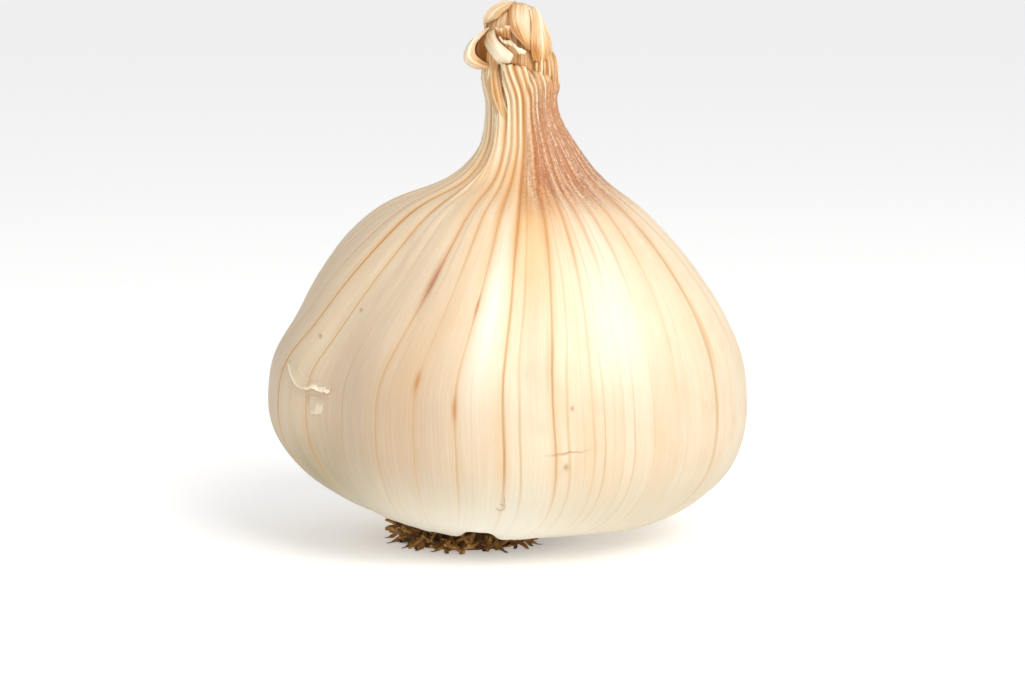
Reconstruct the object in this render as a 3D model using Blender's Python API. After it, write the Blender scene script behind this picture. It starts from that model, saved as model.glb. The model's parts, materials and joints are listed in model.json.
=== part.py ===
"""A whole garlic bulb, standing on its trimmed roots.

Metres, +Z up. The origin is the centre of the flat underside of the root plate, on the table.
Azimuths are degrees round +Z: 0 is the front (-Y), 90 is the right (+X), -90 is the left.

The pieces are the wrapped bulb with its neck, a torn flap of its outermost skin, the inner leaf
sheaths that leave the neck and are folded over into a knob, the root plate and its dry roots.
"""

import math

import bmesh
import bpy
from mathutils import Vector

MM = 0.001
GAP = 0.3 * MM  # clear space between neighbouring pieces

# The wrapped bulb
BELLY_RADIUS = 30.0 * MM
BELLY_HEIGHT = 17.2 * MM  # height of the widest ring
BELLY_SHIFT = 5.2 * MM  # the belly's centre, to the right of the root plate's
NECK_RADIUS = 4.5 * MM
NECK_SHIFT = 7.0 * MM
COLLAR_HEIGHT = 59.8 * MM  # top of the outer wrapper, at the middle of the neck
COLLAR_SLOPE = 0.22  # fall of the collar's rim towards the right, per metre across
LIP_RADIUS = 12.0 * MM  # the ring of skin round the roots
LIP_HEIGHT = 2.5 * MM
UNDERSIDE_SLOPE = 0.09  # the underside hangs lower on the right than on the left
SIDE_LIFT = 1.0 * MM  # and lower in front and behind than at its sides
NOTCH_AZIMUTH = 10.0  # a small arch in the lip, over the roots
NOTCH_HALF_WIDTH = 9.0
NOTCH_RISE = 0.8 * MM
BULB_COLUMNS = 64
BULB_ROWS = 34

# The root plate and the roots
PLATE_RADIUS = 7.8 * MM
PLATE_TOP_RADIUS = 6.6 * MM
PLATE_HEIGHT = 2.7 * MM
ROOT_COUNT = 30
ROOT_RADIUS = 0.50 * MM
ROOT_REACH = 2.6 * MM  # how far a root stands out past the plate, on average
ROOT_FOOT = 0.35 * MM  # clear height of a root's tip over the table
ROOT_TIERS = (0.56, 0.34)  # where the two rows of roots leave the plate, as shares of its height
ROOT_SIDES = 8
ROOT_STEPS = 5

# The torn flap of skin on the left of the belly
FLAP_LEFT = -65.0
FLAP_RIGHT = -46.0
FLAP_FOOT = 17.8 * MM
FLAP_TOP = 25.0 * MM
FLAP_THICKNESS = 0.4 * MM
FLAP_LIFT = 0.6 * MM  # how far its torn edge stands off the skin

# The folded leaf sheaths
KNOB_HALF_WIDTH = 3.5 * MM  # of the bundle inside; the sheaths lie over it
KNOB_HALF_DEPTH = 3.2 * MM
KNOB_RISE = 4.0 * MM  # from the collar's middle up to the knob's widest ring
KNOB_DOME = 3.2 * MM  # and from there to the bundle's top
KNOB_SHIFT = -0.7 * MM  # the knob's middle, sideways from the neck's
SHEATH_THICKNESS = 0.7 * MM
EAR_REACH = 1.7 * MM  # how far the loose lobe stands out on the left of the neck
EAR_DROP = 0.4 * MM  # how far it hangs below the collar's middle
EAR_RISE = 3.5 * MM  # and how far it goes up
EAR_HALF_DEPTH = 2.3 * MM
TONGUE_THICKNESS = 0.6 * MM

# Azimuth, depth as a share of the radius, and half width in degrees of each valley between cloves
VALLEYS = (
    (-48, 0.050, 10),
    (6, 0.015, 12),
    (48, 0.045, 12),
    (118, 0.075, 13),
    (150, 0.040, 12),
    (-173, 0.080, 13),
    (-140, 0.045, 12),
    (-106, 0.070, 12),
)


def material(name, colour, roughness):
    """A matte Principled material."""
    made = bpy.data.materials.new(name)
    made.use_nodes = True
    shader = made.node_tree.nodes["Principled BSDF"]
    shader.inputs["Base Color"].default_value = (*colour, 1.0)
    shader.inputs["Roughness"].default_value = roughness
    shader.inputs["Metallic"].default_value = 0.0
    return made


def smooth_through(knots, steps):
    """Points along a Catmull-Rom curve through the knots, steps to each stretch."""
    ends = [knots[0], *knots, knots[-1]]
    points = []
    for a, b, c, d in zip(ends, ends[1:], ends[2:], ends[3:]):
        for i in range(steps):
            t = i / steps
            points.append(
                0.5
                * (
                    2 * b
                    + (c - a) * t
                    + (2 * a - 5 * b + 4 * c - d) * t**2
                    + (3 * b - a - 3 * c + d) * t**3
                )
            )
    return points + [knots[-1]]


def resampled(points, count):
    """The same line with its points spaced evenly."""
    along = [0.0]
    for a, b in zip(points, points[1:]):
        along.append(along[-1] + (b - a).length)
    found = []
    i = 0
    for k in range(count):
        target = along[-1] * k / (count - 1)
        while i < len(points) - 2 and along[i + 1] < target:
            i += 1
        span = along[i + 1] - along[i]
        found.append(points[i].lerp(points[i + 1], (target - along[i]) / span))
    return found


def outline():
    """The bulb's side as (radius, height, sideways shift), from the recess over the roots to the collar."""
    recess = PLATE_HEIGHT + GAP + 0.2 * MM
    knots = [
        Vector((PLATE_TOP_RADIUS, recess, 0.0)),
        Vector((PLATE_RADIUS + 1.6 * MM, (recess + LIP_HEIGHT) / 2, 0.1 * BELLY_SHIFT)),
        Vector((LIP_RADIUS, LIP_HEIGHT, 0.25 * BELLY_SHIFT)),
    ]
    # The underside and the lower belly: share of the way out, and of the way up
    for out, up in (
        (0.17, 0.045),
        (0.33, 0.10),
        (0.50, 0.175),
        (0.65, 0.265),
        (0.81, 0.42),
        (0.92, 0.60),
        (0.98, 0.79),
    ):
        knots.append(
            Vector(
                (
                    LIP_RADIUS + (BELLY_RADIUS - LIP_RADIUS) * out,
                    LIP_HEIGHT + (BELLY_HEIGHT - LIP_HEIGHT) * up,
                    BELLY_SHIFT * (0.25 + 0.75 * out),
                )
            )
        )
    # The belly, the shoulder and the neck: share of the way from neck to belly, and of the way up
    for wide, up, to_neck in (
        (1.0, 0.0, 0.0),
        (0.975, 0.14, 0.0),
        (0.87, 0.285, 0.0),
        (0.73, 0.41, 0.0),
        (0.61, 0.495, 0.0),
        (0.465, 0.573, 0.1),
        (0.34, 0.622, 0.5),
        (0.22, 0.662, 1.2),
        (0.135, 0.712, 1.5),
        (0.06, 0.775, 1.5),
        (0.015, 0.84, 1.1),
        (0.0, 0.90, 1.0),
        (0.02, 1.0, 1.0),
    ):
        knots.append(
            Vector(
                (
                    NECK_RADIUS + (BELLY_RADIUS - NECK_RADIUS) * wide,
                    BELLY_HEIGHT + (COLLAR_HEIGHT - BELLY_HEIGHT) * up,
                    BELLY_SHIFT + (NECK_SHIFT - BELLY_SHIFT) * to_neck,
                )
            )
        )
    return smooth_through(knots, 6)


OUTLINE = outline()


def eased(value, low, high):
    """0 below low, 1 above high, and a smooth rise between."""
    t = min(max((value - low) / (high - low), 0.0), 1.0)
    return t * t * (3 - 2 * t)


def valley_depth(azimuth, height):
    """How far the skin sinks between two cloves, as a share of the radius."""
    reach = eased(height, 0.6 * LIP_HEIGHT, 0.4 * BELLY_HEIGHT) * (
        1 - eased(height, 1.1 * BELLY_HEIGHT, 0.75 * COLLAR_HEIGHT)
    )
    total = 0.0
    for middle, depth, half_width in VALLEYS:
        away = (azimuth - middle + 180) % 360 - 180
        total += depth * math.exp(-((away / half_width) ** 2))
    return total * reach


def bulb_point(ring, azimuth, offset=0.0):
    """A point of the wrapped bulb's surface, or that far outside it."""
    radius, height, shift = ring
    angle = math.radians(azimuth)
    radius = radius * (1 - valley_depth(azimuth, height)) + offset
    x = shift + radius * math.sin(angle)
    y = -radius * math.cos(angle)
    hang = eased(radius, PLATE_RADIUS, LIP_RADIUS)
    hang *= 1 - eased(height, 0.4 * BELLY_HEIGHT, 1.3 * BELLY_HEIGHT)
    fall = hang * (UNDERSIDE_SLOPE * x - SIDE_LIFT * math.sin(angle) ** 2)
    # The arch in the lip, and the collar's slanting rim
    away = (azimuth - NOTCH_AZIMUTH + 180) % 360 - 180
    arch = math.exp(-((away / NOTCH_HALF_WIDTH) ** 4)) * hang
    fall -= NOTCH_RISE * arch * (1 - eased(radius, LIP_RADIUS, 1.3 * LIP_RADIUS))
    collar = eased(height, 0.93 * COLLAR_HEIGHT, COLLAR_HEIGHT)
    fall += COLLAR_SLOPE * collar * (x - shift)
    return Vector((x, y, height - fall))


def ring_at_height(height):
    """The outline's ring at a height above the belly's widest ring."""
    above = [ring for ring in OUTLINE if ring[1] >= BELLY_HEIGHT - GAP]
    for low, high in zip(above, above[1:]):
        if low[1] <= height <= high[1]:
            return low.lerp(high, (height - low[1]) / (high[1] - low[1]))
    return above[-1]


def knob_point(azimuth, level, offset=0.0):
    """A point of the bundle in the knob, or that far outside it.

    The level is -1 at the collar, 0 at the widest ring and 1 on top: a dome over a short stem.
    """
    angle = math.radians(azimuth)
    if level >= 0:
        spread = math.cos(level * math.pi / 2) ** 1.15
        z = (KNOB_DOME + offset) * math.sin(level * math.pi / 2)
    else:
        spread = 1 + 0.18 * abs(level) ** 1.5
        z = KNOB_RISE * level
    sideways = KNOB_SHIFT * (1 + min(level, 0.0))
    return Vector(
        (
            NECK_SHIFT + sideways + (KNOB_HALF_WIDTH + offset) * spread * math.sin(angle),
            -(KNOB_HALF_DEPTH + offset) * spread * math.cos(angle),
            COLLAR_HEIGHT + KNOB_RISE + z,
        )
    )


def add_object(name, mesh_maker, finish):
    """One closed mesh object, its faces pointing outwards and shaded smooth."""
    work = bmesh.new()
    mesh_maker(work)
    bmesh.ops.recalc_face_normals(work, faces=work.faces)
    mesh = bpy.data.meshes.new(name)
    work.to_mesh(mesh)
    work.free()
    mesh.shade_smooth()
    mesh.set_sharp_from_angle(angle=math.radians(40))
    mesh.materials.append(finish)
    made = bpy.data.objects.new(name, mesh)
    bpy.context.scene.collection.objects.link(made)
    return made


def lofted(work, rings):
    """Closed rings of points joined into a tube with filled ends."""
    loops = [[work.verts.new(point) for point in ring] for ring in rings]
    for low, high in zip(loops, loops[1:]):
        count = len(low)
        for i in range(count):
            j = (i + 1) % count
            work.faces.new((low[i], low[j], high[j], high[i]))
    for ring in (loops[0], loops[-1]):
        middle = work.verts.new(sum((v.co for v in ring), Vector()) / len(ring))
        for i, corner in enumerate(ring):
            work.faces.new((corner, ring[(i + 1) % len(ring)], middle))


def plate_between(work, inner, outer):
    """A curved plate: two grids of points, one on each side, joined round their edge."""
    rows, columns = len(inner), len(inner[0])
    sides = [[[work.verts.new(point) for point in row] for row in grid] for grid in (inner, outer)]
    for side in sides:
        for i in range(rows - 1):
            for j in range(columns - 1):
                work.faces.new((side[i][j], side[i][j + 1], side[i + 1][j + 1], side[i + 1][j]))
    rim = [(0, j) for j in range(columns)]
    rim += [(i, columns - 1) for i in range(1, rows)]
    rim += [(rows - 1, j) for j in range(columns - 2, -1, -1)]
    rim += [(i, 0) for i in range(rows - 2, 0, -1)]
    for (i, j), (m, n) in zip(rim, rim[1:] + rim[:1]):
        work.faces.new((sides[0][i][j], sides[0][m][n], sides[1][m][n], sides[1][i][j]))


def between(start, end, count):
    """Evenly spaced values from start to end."""
    return [start + (end - start) * i / (count - 1) for i in range(count)]


def make_bulb(finish):
    rings = resampled(OUTLINE, BULB_ROWS)
    azimuths = [360 * i / BULB_COLUMNS for i in range(BULB_COLUMNS)]

    def shape(work):
        lofted(work, [[bulb_point(ring, azimuth) for azimuth in azimuths] for ring in rings])

    return add_object("bulb", shape, finish)


def make_flap(finish):
    """A thin patch of the outermost skin that has torn along its foot and lifts there."""
    columns, rows = 9, 6

    def grid(depth):
        found = []
        for height in between(FLAP_FOOT, FLAP_TOP, rows):
            lift = FLAP_LIFT * (1 - eased(height, FLAP_FOOT, FLAP_TOP))
            row = []
            for azimuth in between(FLAP_LEFT, FLAP_RIGHT, columns):
                # The torn foot rises towards its left end
                torn = 1 - eased(azimuth, FLAP_LEFT, (FLAP_LEFT + FLAP_RIGHT) / 2)
                raised = height + 0.45 * torn * (FLAP_TOP - height)
                row.append(bulb_point(ring_at_height(raised), azimuth, GAP + lift + depth))
            found.append(row)
        return found

    def shape(work):
        plate_between(work, grid(0.0), grid(FLAP_THICKNESS))

    return add_object("skin_flap", shape, finish)


def make_core(finish):
    """The bundle of inner sheaths that rises out of the neck and fills the knob."""
    columns = 24
    levels = [-0.8, -0.4, 0.0, 0.2, 0.4, 0.6, 0.8, 0.92]

    def rim_clearance(azimuth):
        # Stand clear of the collar's slanting rim
        point = knob_point(azimuth, -1.0)
        fall = COLLAR_SLOPE * (point.x - NECK_SHIFT)
        return Vector((point.x, point.y, COLLAR_HEIGHT + GAP - fall))

    def shape(work):
        azimuths = [360 * i / columns for i in range(columns)]
        rings = [[rim_clearance(azimuth) for azimuth in azimuths]]
        rings += [[knob_point(azimuth, level) for azimuth in azimuths] for level in levels]
        lofted(work, rings)

    return add_object("sheath_core", shape, finish)


def make_sheath(name, azimuths, levels, finish, layer=0, hem=0.0):
    """One leaf sheath folded over the knob: a shell on part of it, its foot slanting by hem."""
    columns = 2 + round(abs(azimuths[1] - azimuths[0]) / 14)
    rows = 2 + round(abs(levels[1] - levels[0]) / 0.2)
    clear = GAP + layer * (SHEATH_THICKNESS + GAP)

    def grid(offset):
        found = []
        for share in between(0.0, 1.0, rows):
            row = []
            for across in between(0.0, 1.0, columns):
                azimuth = azimuths[0] + (azimuths[1] - azimuths[0]) * across
                foot = levels[0] + hem * across
                row.append(knob_point(azimuth, foot + (levels[1] - foot) * share, offset))
            found.append(row)
        return found

    def shape(work):
        plate_between(work, grid(clear), grid(clear + SHEATH_THICKNESS))

    return add_object(name, shape, finish)


def make_ear(finish):
    """The loose lobe of a sheath that bulges out beside the neck, a hook when seen from the front."""
    columns = 5
    beside = NECK_SHIFT - 1.08 * NECK_RADIUS - GAP - SHEATH_THICKNESS / 2
    # Share of the reach, and of the way up from its lowest point
    hook = [(0.0, 0.0), (0.55, 0.02), (0.93, 0.20), (1.0, 0.45), (0.75, 0.72), (0.05, 1.0)]
    tall = EAR_DROP + EAR_RISE
    low = COLLAR_HEIGHT - EAR_DROP
    knots = [Vector((beside - EAR_REACH * out, 0.0, low + tall * up)) for out, up in hook]
    line = resampled(smooth_through(knots, 4), 13)

    def grid(side):
        found = []
        for i, point in enumerate(line):
            along = line[min(i + 1, len(line) - 1)] - line[max(i - 1, 0)]
            normal = Vector((-along.z, 0.0, along.x)).normalized() * (side * SHEATH_THICKNESS / 2)
            row = []
            for depth in between(-EAR_HALF_DEPTH, EAR_HALF_DEPTH, columns):
                # Its edges curl back towards the neck
                curl = 0.35 * (depth / EAR_HALF_DEPTH) ** 2 * max(0.0, beside - point.x)
                row.append(point + normal + Vector((curl, depth, 0.0)))
            found.append(row)
        return found

    def shape(work):
        plate_between(work, grid(-1), grid(1))

    return add_object("sheath_ear", shape, finish)


def make_strip(name, start, end, half_width, finish):
    """A torn strip of sheath across the front of the knob; azimuth and level of both its ends."""
    steps = 9
    lie = GAP + SHEATH_THICKNESS + GAP

    def grid(offset):
        found = []
        for t in between(0.0, 1.0, steps):
            middle = Vector(start).lerp(Vector(end), t)
            # Rounded at its free end
            wide = half_width * math.sqrt(1 - 0.75 * max(0.0, 2.5 * t - 1.5) ** 2)
            row = []
            for side in between(-1.0, 1.0, 4):
                azimuth = middle.x + 9.0 * side * wide / (2.0 * MM)
                level = middle.y + side * wide / KNOB_RISE
                row.append(knob_point(azimuth, level, offset))
            found.append(row)
        return found

    def shape(work):
        plate_between(work, grid(lie), grid(lie + TONGUE_THICKNESS))

    return add_object(name, shape, finish)


def make_root_plate(finish):
    """The corky disc that the roots grow from, worn flat underneath."""
    sides = 36

    def ring(radius, height):
        points = []
        for i in range(sides):
            angle = 2 * math.pi * i / sides
            points.append(Vector((radius * math.sin(angle), -radius * math.cos(angle), height)))
        return points

    def shape(work):
        lofted(
            work,
            [
                ring(PLATE_RADIUS, 0.0),
                ring(PLATE_RADIUS, 0.45 * PLATE_HEIGHT),
                ring(PLATE_TOP_RADIUS, PLATE_HEIGHT),
            ],
        )

    return add_object("root_plate", shape, finish)


def make_root(number, finish):
    """One trimmed root: it leaves the plate's edge, turns down and stops short of the table."""
    azimuth = 360 * number / ROOT_COUNT
    angle = math.radians(azimuth)
    low = number % 2
    # Longer on the left, where the skin hangs higher, and shorter in the low row
    reach = ROOT_REACH * (1 - 0.35 * math.sin(angle)) * (0.65 if low else 1)
    start = PLATE_RADIUS + GAP
    out = Vector((math.sin(angle), -math.cos(angle), 0.0))
    across = Vector((math.cos(angle), math.sin(angle), 0.0))
    top = ROOT_TIERS[low] * PLATE_HEIGHT
    foot = ROOT_FOOT + ROOT_RADIUS
    sweep = 0.6 * ROOT_RADIUS * math.sin(2.4 * number)
    rings = []
    for t in between(0.0, 1.0, ROOT_STEPS):
        radius = ROOT_RADIUS * (1 - 0.3 * t)
        centre = out * (start + reach * math.sin(t * math.pi / 2))
        centre += across * sweep * t
        centre.z = top + (foot - top) * t**1.5
        tilt = t * 0.9
        up = Vector((0, 0, math.cos(tilt))) + out * math.sin(tilt)
        ring = []
        for i in range(ROOT_SIDES):
            turn = 2 * math.pi * i / ROOT_SIDES
            ring.append(centre + across * radius * math.cos(turn) + up * radius * math.sin(turn))
        rings.append(ring)

    def shape(work):
        lofted(work, rings)

    return add_object(f"root_{number + 1:02d}", shape, finish)


def main():
    for old in list(bpy.data.objects):
        bpy.data.objects.remove(old)
    skin = material("papery_skin", (0.84, 0.76, 0.62), 0.45)
    sheath = material("dry_sheath", (0.72, 0.55, 0.33), 0.55)
    cork = material("root_cork", (0.16, 0.09, 0.04), 0.9)
    root = material("dry_root", (0.34, 0.20, 0.09), 0.8)
    make_bulb(skin)
    make_flap(skin)
    make_core(sheath)
    make_sheath("sheath_right", (24, 98), (-0.76, 0.78), sheath, hem=0.20)
    make_sheath("sheath_middle", (-9, 16), (-0.30, 0.80), sheath, hem=-0.20)
    make_sheath("sheath_left", (-108, -20), (0.06, 0.82), sheath, hem=0.22)
    make_sheath("sheath_back", (108, 240), (-0.70, 0.80), sheath)
    make_ear(sheath)
    make_strip("sheath_tongue", (-58, -0.12), (-16, -0.68), 0.75 * MM, sheath)
    make_strip("sheath_shred_1", (-30, 0.14), (-10, 0.12), 0.30 * MM, sheath)
    make_strip("sheath_shred_2", (-26, -0.10), (14, -0.46), 0.40 * MM, sheath)
    make_root_plate(cork)
    for number in range(ROOT_COUNT):
        make_root(number, root)


main()
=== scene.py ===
# %% [markdown]
# # A whole garlic bulb
#
# A dry garlic bulb is a cluster of cloves under several layers of papery skin. Each layer is a
# leaf: its veins run from the root plate up over the belly, crowd together in the neck, and leave
# it as dry sheaths, which here are folded over into a small knob. Below, the trimmed roots make a
# brown brush that the bulb stands on.
#
# This lesson dresses a measured frame. The frame says where each piece is and how big it is; the
# cells below give every piece its real surface.

# %% The frame
import json
import math

import bmesh
import bpy
import numpy as np
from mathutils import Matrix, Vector, noise
from mathutils.bvhtree import BVHTree

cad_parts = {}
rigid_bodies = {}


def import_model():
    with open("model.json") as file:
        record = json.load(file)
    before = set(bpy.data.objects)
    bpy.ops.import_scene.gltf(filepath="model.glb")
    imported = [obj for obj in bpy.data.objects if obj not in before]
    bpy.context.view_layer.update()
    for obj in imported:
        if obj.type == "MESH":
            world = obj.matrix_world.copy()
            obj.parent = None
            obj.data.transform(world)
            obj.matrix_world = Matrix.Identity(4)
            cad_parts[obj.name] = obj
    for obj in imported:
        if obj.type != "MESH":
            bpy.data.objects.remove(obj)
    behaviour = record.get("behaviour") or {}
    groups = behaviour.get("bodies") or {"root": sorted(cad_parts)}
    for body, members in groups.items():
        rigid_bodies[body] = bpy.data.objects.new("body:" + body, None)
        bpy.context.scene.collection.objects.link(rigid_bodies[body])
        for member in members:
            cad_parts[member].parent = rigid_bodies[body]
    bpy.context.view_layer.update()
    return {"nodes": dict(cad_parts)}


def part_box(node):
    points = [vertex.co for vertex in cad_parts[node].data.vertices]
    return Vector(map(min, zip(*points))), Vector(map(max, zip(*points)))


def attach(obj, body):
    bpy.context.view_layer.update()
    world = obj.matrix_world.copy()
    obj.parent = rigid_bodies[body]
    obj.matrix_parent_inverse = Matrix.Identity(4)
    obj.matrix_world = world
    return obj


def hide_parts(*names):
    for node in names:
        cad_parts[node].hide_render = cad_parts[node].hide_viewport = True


for old in list(bpy.data.objects):
    bpy.data.objects.remove(old)
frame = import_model()
MM = 0.001


def linked(name, data):
    """A new object with this mesh, light or camera, in the scene."""
    made = bpy.data.objects.new(name, data)
    bpy.context.scene.collection.objects.link(made)
    return made


# %% [markdown]
# ## The camera
#
# The bulb is seen from the front, a little from above, through a long lens, which keeps its sides
# straight. The lens follows from how wide a strip of the scene should fill the picture, so that
# changing the distance changes only the perspective.

# %% Camera
VIEW_DISTANCE = 400 * MM
VIEW_WIDTH = 128.1 * MM  # what the picture's width takes in at the bulb
VIEW_RISE = 8.0  # degrees above level
VIEW_CENTRE = Vector((5.94 * MM, 0.0, 23.9 * MM))

camera = linked("camera", bpy.data.cameras.new("camera"))
camera.data.sensor_width = 36.0
camera.data.lens = 36.0 * VIEW_DISTANCE / VIEW_WIDTH
camera.data.clip_start = 0.01
rise = math.radians(VIEW_RISE)
camera.location = VIEW_CENTRE + VIEW_DISTANCE * Vector((0.0, -math.cos(rise), math.sin(rise)))
camera.rotation_euler = (math.pi / 2 - rise, 0.0, 0.0)
bpy.context.scene.camera = camera
print(f"lens {camera.data.lens:.0f} mm")

# %% [markdown]
# ## Floor and light
#
# A bulb of garlic is nearly white, so it is shown on white: a pale floor under an even white sky,
# with one large soft light from the front right that models the lobes and a weaker one on the left.

# %% Floor and light
def plain_material(name, colour, roughness):
    made = bpy.data.materials.new(name)
    made.use_nodes = True
    shader = made.node_tree.nodes["Principled BSDF"]
    shader.inputs["Base Color"].default_value = (*colour, 1.0)
    shader.inputs["Roughness"].default_value = roughness
    return made


def flat_square(name, half, height):
    mesh = bpy.data.meshes.new(name)
    corners = [(x, y, height) for x, y in ((-half, -half), (half, -half), (half, half), (-half, half))]
    mesh.from_pydata(corners, [], [(0, 1, 2, 3)])
    return linked(name, mesh)


floor = flat_square("floor", 3.0, -0.02 * MM)
floor.data.materials.append(plain_material("white_floor", (0.94, 0.94, 0.94), 0.9))
glow = floor.data.materials[0].node_tree.nodes["Principled BSDF"].inputs
glow["Emission Color"].default_value = (1.0, 1.0, 1.0, 1.0)
glow["Emission Strength"].default_value = 0.32

world = bpy.data.worlds.new("white_sky")
world.use_nodes = True
world.node_tree.nodes["Background"].inputs["Color"].default_value = (1.0, 1.0, 1.0, 1.0)
world.node_tree.nodes["Background"].inputs["Strength"].default_value = 0.57
bpy.context.scene.world = world
bpy.context.scene.view_settings.view_transform = "Standard"  # keeps white white


def soft_light(name, azimuth, elevation, distance, size, watts, colour):
    """A square light that looks at the bulb's belly; azimuth 0 is the front, 90 the right."""
    lamp = bpy.data.lights.new(name, "AREA")
    lamp.size = size
    lamp.energy = watts
    lamp.color = colour
    made = linked(name, lamp)
    a, e = math.radians(azimuth), math.radians(elevation)
    way = Vector((math.cos(e) * math.sin(a), -math.cos(e) * math.cos(a), math.sin(e)))
    target = Vector((5 * MM, 0.0, 28 * MM))
    made.location = target + way * distance
    made.rotation_euler = (-way).to_track_quat("-Z", "Y").to_euler()


soft_light("key", 32, 38, 0.55, 0.30, 2.1, (1.0, 0.985, 0.96))
soft_light("fill", -60, 20, 0.60, 0.40, 0.15, (0.96, 0.98, 1.0))

# %% [markdown]
# ## Writing formulas as nodes
#
# Both the pleats in the mesh and the veins in the colour follow the same rule: lines that run up
# the leaf at even steps. Such a rule is short as a formula and long as a chain of nodes, so a small
# class turns one into the other. A `Term` is a value inside a node tree, and adding or multiplying
# two Terms adds a Math node. It works alike in shader and in geometry trees.

# %% Terms
class Term:
    """A value inside a node tree."""

    def __init__(self, tree, socket):
        self.tree, self.socket = tree, socket

    def math(self, operation, *others):
        node = self.tree.nodes.new("ShaderNodeMath")
        node.operation = operation
        for slot, value in zip(node.inputs, (self, *others)):
            connect(self.tree, value, slot)
        return Term(self.tree, node.outputs[0])

    def __add__(self, other):
        return self.math("ADD", other)

    def __sub__(self, other):
        return self.math("SUBTRACT", other)

    def __rsub__(self, other):
        return (self * -1.0) + other

    def __mul__(self, other):
        return self.math("MULTIPLY", other)

    def __truediv__(self, other):
        return self.math("DIVIDE", other)

    def __pow__(self, other):
        return self.math("POWER", other)

    __radd__, __rmul__ = __add__, __mul__

    def rise(self, low, high):
        """0 at low, 1 at high, and a smooth rise or fall between."""
        return place(
            self.tree,
            "ShaderNodeMapRange",
            {"Value": self, "From Min": low, "From Max": high},
            interpolation_type="SMOOTHSTEP",
        )

    def bell(self, middle, width):
        """1 at the middle, fading to 0 about a width away."""
        away = (self - middle) / width
        return (away * away * -1.0).math("EXPONENT")


def connect(tree, value, slot):
    if isinstance(value, Term):
        tree.links.new(value.socket, slot)
    elif isinstance(value, bpy.types.NodeSocket):
        tree.links.new(value, slot)
    else:
        slot.default_value = value


def place(tree, kind, inputs=(), out=0, **settings):
    """Adds a node with these settings and inputs, and gives one of its outputs as a Term."""
    node = tree.nodes.new(kind)
    for key, value in settings.items():
        setattr(node, key, value)
    for key, value in dict(inputs).items():
        slot = node.inputs[key]
        if isinstance(key, str) and not slot.enabled:
            slot = next(s for s in node.inputs if s.name == key and s.enabled)
        connect(tree, value, slot)
    return Term(tree, node.outputs[out])


def vector(tree, x, y, z):
    return place(tree, "ShaderNodeCombineXYZ", {0: x, 1: y, 2: z})


def split(term):
    node = term.tree.nodes.new("ShaderNodeSeparateXYZ")
    term.tree.links.new(term.socket, node.inputs[0])
    return [Term(term.tree, s) for s in node.outputs]


def grain(tree, at, scale, detail=2.0, roughness=0.5):
    """Soft random values, about -0.5 to 0.5, that change over 1 / scale."""
    inputs = {"Vector": at, "Scale": scale, "Detail": detail, "Roughness": roughness}
    return place(tree, "ShaderNodeTexNoise", inputs) - 0.5


def chance(tree, number, seed):
    """A random value from 0 to 1 for each whole number."""
    inputs = {"Vector": vector(tree, number, seed, 0.5)}
    return place(tree, "ShaderNodeTexWhiteNoise", inputs, noise_dimensions="3D")


print("Terms ready")

# %% [markdown]
# ## The leaf's own directions
#
# On a leaf, things happen along its veins or across them, and the veins don't run straight up: on
# the left of this bulb they sweep outwards over the shoulder, and near the collar they lean. So
# every point of the skin carries two extra numbers. The first is its *strand*, an angle round the
# bulb that stays the same along a vein. It is kept as a cosine and a sine, so that it has no seam
# at the back. The second is its *climb*, the distance along the skin from the root plate.

# %% Strand and climb
SWEEP = math.radians(21)  # how far the left shoulder's veins sweep
SWEEP_FOOT, SWEEP_TOP = 21 * MM, 42 * MM
LEAN = math.radians(15)  # how far the pleats lean at the collar
LEAN_FOOT, LEAN_TOP = 55 * MM, 60.5 * MM
# Where the veins' middle runs, in mm: (height, x)
CENTRE_LINE = ((17, 5.0), (25, 5.2), (33, 5.9), (39, 6.4), (44, 6.8), (50, 7.3), (61, 7.2))


def ramp(value, low, high):
    t = np.clip((value - low) / (high - low), 0, 1)
    return t * t * (3 - 2 * t)


def strand_angle(azimuth, points):
    """The strand that passes through each point, in radians; the azimuth is its column's."""
    x, y, height = points.T
    heights, centres = np.array(CENTRE_LINE).T * MM
    about = np.arctan2(x - np.interp(height, heights, centres), -y)
    gap = (about - azimuth + math.pi) % (2 * math.pi) - math.pi
    turn = azimuth + gap * ramp(height, 15 * MM, 24 * MM)
    swept = SWEEP * ramp(height, SWEEP_FOOT, SWEEP_TOP) * (1 - ramp(height, 46 * MM, 57 * MM))
    leaned = LEAN * ramp(height, LEAN_FOOT, LEAN_TOP)
    return turn + swept * np.minimum(np.sin(turn), 0) + leaned * np.cos(turn / 2) ** 2


# %% [markdown]
# ## The base of the skin
#
# The frame's bulb is an exact but plain body with a few thousand flat faces. A new skin is wrapped
# round it: rays go out from points along its core in every direction, and where they meet the body
# they set the points of a fine, even grid. Smoothing the grid a little melts the flat faces.

# %% Wrapping a grid round the frame's bulb
COLUMNS, ROWS = 384, 250


def welded_copy(node):
    """Corner points and faces of a frame node, its loose triangles joined."""
    work = bmesh.new()
    work.from_mesh(frame["nodes"][node].data)
    bmesh.ops.remove_doubles(work, verts=work.verts, dist=1e-6)
    return work


body = welded_copy("bulb")
body_tree = BVHTree.FromBMesh(body)
bulb_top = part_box("bulb")[1].z
belly_height = 17 * MM
collar_faces = [
    f for f in body.faces if f.normal.z > 0.9 and f.calc_center_median().z > bulb_top - 3.5 * MM
]
collar_middle = sum((f.calc_center_median() for f in collar_faces), Vector()) / len(collar_faces)
collar_tilt = collar_faces[0].normal
print(f"collar at {collar_middle.z / MM:.1f} mm, {len(collar_faces)} rim faces")


def centre_at(height):
    """The middle of the bulb's section at a height, measured from side to side."""
    ends = []
    for side in (-1, 1):
        start = Vector((side * 0.2, 0.0, height))
        ends.append(body_tree.ray_cast(start, Vector((-side, 0, 0)))[0].x)
    return sum(ends) / 2


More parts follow.
